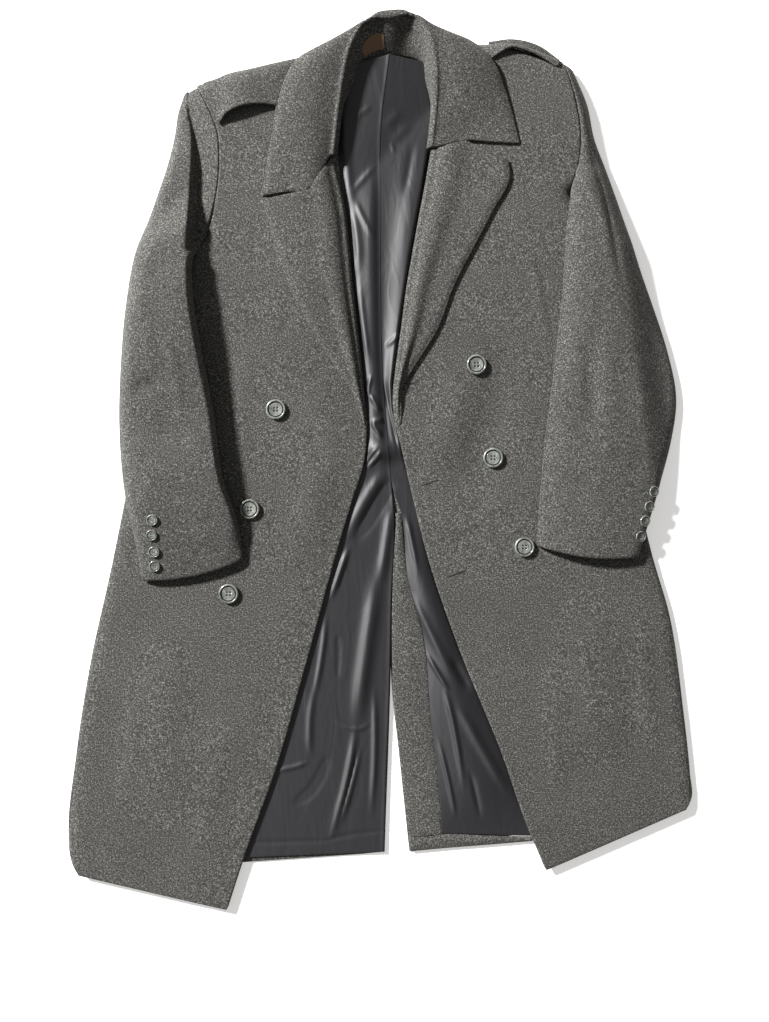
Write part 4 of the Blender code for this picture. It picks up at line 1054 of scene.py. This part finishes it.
# On the cuffs: row of the sleeve, share of its width.
CUFF_SPOTS_RIGHT = ((0.42, 0.160), (0.82, 0.180), (1.18, 0.192), (1.45, 0.234))
CUFF_SPOTS_LEFT = ((0.56, 0.050), (0.98, 0.050), (1.33, 0.050), (1.70, 0.050))
# A button's outline over its top and round to its back: share of the width out, then up.
BUTTON_LINE = np.array((
    (0.002, 0.092), (0.10, 0.092), (0.20, 0.098), (0.29, 0.112), (0.325, 0.116), (0.345, 0.085),
    (0.36, 0.080), (0.375, 0.090), (0.39, 0.140), (0.425, 0.166), (0.475, 0.150), (0.498, 0.105),
    (0.485, 0.050), (0.43, 0.012), (0.34, 0.0), (0.002, 0.0),
))
# The groove and inner rim, painted darker as painted shade, lie between these points of the outline.
SHADE_RING_SPOTS = (4.3, 8.2)
# Shares of a button's width: the holes' distance off the middle lines, radius and depth, then the
# knots' radius and height; and how flat the knots are.
HOLE_SHARE = 0.078
HOLE_WIDTH = 0.044
HOLE_DEPTH = 0.05
KNOT = 0.040
KNOT_UP = 0.080
KNOT_FLAT = 0.6
# Angle at each pole of a knot that its cap covers.
KNOT_POLE = 0.02
# A button is seated on a patch of points: steps each way from its middle, their reach in widths
# of a front button or in rows of a sleeve, and steps across a sleeve.
SEAT_STEPS = 6
SEAT_REACH = 0.6
SEAT_ROWS = 0.3
SEAT_ACROSS = 200


def horn_plastic():
    """Grey horn plastic: pale pearly bands in a smoky ground, polished to a clear gloss."""
    made, tree, shader = finish_of("grey horn plastic", {
        "Roughness": 0.28, "Specular IOR Level": 0.6, "Coat Weight": 0.4, "Coat Roughness": 0.12,
    })
    spot = node(tree, "ShaderNodeTexCoord").outputs["Object"]
    cloud = node(
        tree, "ShaderNodeTexNoise", {"Scale": 110.0, "Detail": 3.0, "Distortion": 1.2}, {"Vector": spot},
    )
    ramp = node(tree, "ShaderNodeValToRGB", links={"Fac": cloud.outputs["Fac"]})
    ramp.color_ramp.elements[0].position = 0.32
    ramp.color_ramp.elements[0].color = linear("#4d4f4a")
    ramp.color_ramp.elements[1].position = 0.68
    ramp.color_ramp.elements[1].color = linear("#888b84")
    tree.links.new(ramp.outputs["Color"], shader.inputs["Base Color"])
    return made


horn = horn_plastic()
# Painted shade: a darker horn laid over the groove and the inner side of the rim, standing in for the shadow
# there.
groove_shade_horn, _, _ = finish_of("horn plastic with painted groove shade", {
    "Base Color": linear("#3a3b39"), "Roughness": 0.35, "Specular IOR Level": 0.6,
})
thread, _, _ = finish_of("dark sewing thread", {"Base Color": linear("#1b1b1c"), "Roughness": 0.8})


def axes_of(out):
    """Two directions square to out, then out."""
    first = unit(np.cross((0.0, 1.0, 0.0), out))
    return np.stack([first, np.cross(out, first), out])


def button(name, place, out, width):
    """The outline turned about the axis, pressed down at the four holes, with a ring of painted shade over
    groove and inner rim, and in each hole a knot of thread: a small flattened ball."""
    spots = np.linspace(0.0, len(BUTTON_LINE) - 1.0, 91)
    line = through(BUTTON_LINE, spots)
    turn = np.linspace(0.0, 2.0 * np.pi, 57)[:-1]
    across = line[:, 0, None] * np.cos(turn)
    along = line[:, 0, None] * np.sin(turn)
    hole = np.hypot(np.abs(across) - HOLE_SHARE, np.abs(along) - HOLE_SHARE) / HOLE_WIDTH
    top = np.arange(len(line))[:, None] < len(line) // 2
    up = line[:, 1, None] - HOLE_DEPTH * np.exp(-hole ** 4) * top
    points = place + width * np.stack([across, along, up], -1) @ axes_of(out)
    numbers = np.arange(points.shape[0] * points.shape[1]).reshape(points.shape[:2])
    quads = net(np.hstack([numbers, numbers[:, :1]]))[:, ::-1]
    made = piece_of(name + "_horn", points, quads, horn, (numbers[0], numbers[-1, ::-1]))
    made.data.materials.append(groove_shade_horn)
    # The faces of the groove and inner rim take the darker horn, as painted shade.
    dark = (spots[:-1] > SHADE_RING_SPOTS[0]) & (spots[:-1] < SHADE_RING_SPOTS[1])
    finishes = np.append(np.repeat(dark.astype(np.int32), len(turn)), (0, 0)).astype(np.int32)
    made.data.polygons.foreach_set("material_index", finishes)
    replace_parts(made, name)
    down = np.linspace(KNOT_POLE, np.pi - KNOT_POLE, 7)[None, :, None]
    ring = np.linspace(0.0, 2.0 * np.pi, 11)[None, None, :-1]
    corner = np.array(((-1.0, -1.0), (1.0, -1.0), (1.0, 1.0), (-1.0, 1.0)))[:, :, None, None] * HOLE_SHARE
    knots = np.stack(np.broadcast_arrays(
        corner[:, 0] + KNOT * np.sin(down) * np.cos(ring),
        corner[:, 1] + KNOT * np.sin(down) * np.sin(ring),
        KNOT_UP + KNOT_FLAT * KNOT * np.cos(down),
    ), -1)
    numbers = np.arange(knots.size // 3).reshape(knots.shape[:3])
    wrapped = np.concatenate([numbers, numbers[..., :1]], axis=2)
    quads = np.concatenate([net(one) for one in wrapped])[:, ::-1]
    caps = (*numbers[:, 0], *numbers[:, -1, ::-1])
    sewn = piece_of(name + "_thread", place + width * knots @ axes_of(out), quads, thread, caps)
    return made


def seat(skin, middle, width):
    """Where a button of a width rests on a skin of points, and the way it faces."""
    out = unit(np.cross(np.gradient(skin, axis=1), np.gradient(skin, axis=0)))[middle]
    out = out * np.sign(out[2])
    offset = skin - skin[middle]
    above = offset @ out
    aside = np.linalg.norm(offset - above[..., None] * out, axis=-1)
    return skin[middle] + out * (above[aside < width * 0.5].max() + SEAM), out


step = np.linspace(-SEAT_REACH, SEAT_REACH, 2 * SEAT_STEPS + 1) * FRONT_BUTTON
for side_name, spots in (("right", BUTTON_SPOTS_RIGHT), ("left", BUTTON_SPOTS_LEFT)):
    for number, spot in enumerate(spots, 1):
        ground = np.stack(np.meshgrid(spot[0] + step, spot[1] + step), -1)
        skin = lifted(ground, body_height(ground) + FRONT_WALL / 2)
        place, out = seat(skin, (SEAT_STEPS, SEAT_STEPS), FRONT_BUTTON)
        button(f"button_{side_name}_{number}", place, out, FRONT_BUTTON)

fine = np.linspace(0.0, 1.0, SEAT_ACROSS + 1)
for side_name, arm, spots in (("right", ARM_RIGHT, CUFF_SPOTS_RIGHT), ("left", ARM_LEFT, CUFF_SPOTS_LEFT)):
    for number, (along, share) in enumerate(spots, 1):
        places = along + np.linspace(-SEAT_ROWS, SEAT_ROWS, 2 * SEAT_STEPS + 1)
        plan, top, _ = sleeve_faces(*arm, places, fine)
        middle = (SEAT_STEPS, int(round(share * SEAT_ACROSS)))
        place, out = seat(lifted(plan, top), middle, CUFF_BUTTON)
        button(f"cuff_button_{side_name}_{number}", place, out, CUFF_BUTTON)


# The buttonholes: three slits along the left front's edge, worked with dark buttonhole thread.
# Each is a slim bead, set by the thread's half width and the share of that at its ends.
HOLE_THREAD = 0.0012
THREAD_ENDS = 0.35
# Start x, y, end x, y.
BUTTONHOLES = np.array((
    (0.0330, 0.1125, 0.0455, 0.1130),
    (0.0540, -0.0245, 0.0770, -0.0165),
    (0.0890, -0.1480, 0.1150, -0.1385),
))


def buttonhole(name, line):
    """A slit as a slim bead of thread along the line, swelling to the middle, set into the cloth."""
    share = np.linspace(0.0, 1.0, 25)
    run = line[2:4] - line[0:2]
    path = line[0:2] + share[:, None] * run
    side = np.array((-run[1], run[0])) / np.hypot(*run)
    ring = np.linspace(0.0, 2.0 * np.pi, 11)[:-1]
    thick = HOLE_THREAD * (THREAD_ENDS + (1.0 - THREAD_ENDS) * np.sin(np.pi * share) ** 0.5)
    plan = path[:, None] + side * (thick[:, None] * np.cos(ring))[..., None]
    rise = (body_height(path) + FRONT_WALL / 2)[:, None] + 0.5 * thick[:, None] * np.sin(ring)
    points = lifted(plan, rise)
    numbers = np.arange(points.shape[0] * points.shape[1]).reshape(points.shape[:2])
    quads = net(np.hstack([numbers, numbers[:, :1]]))
    made = piece_of(name, points, quads, thread, (numbers[0, ::-1], numbers[-1]))
    return made


for number, line in enumerate(BUTTONHOLES, 1):
    buttonhole(f"buttonhole_{number}", line)
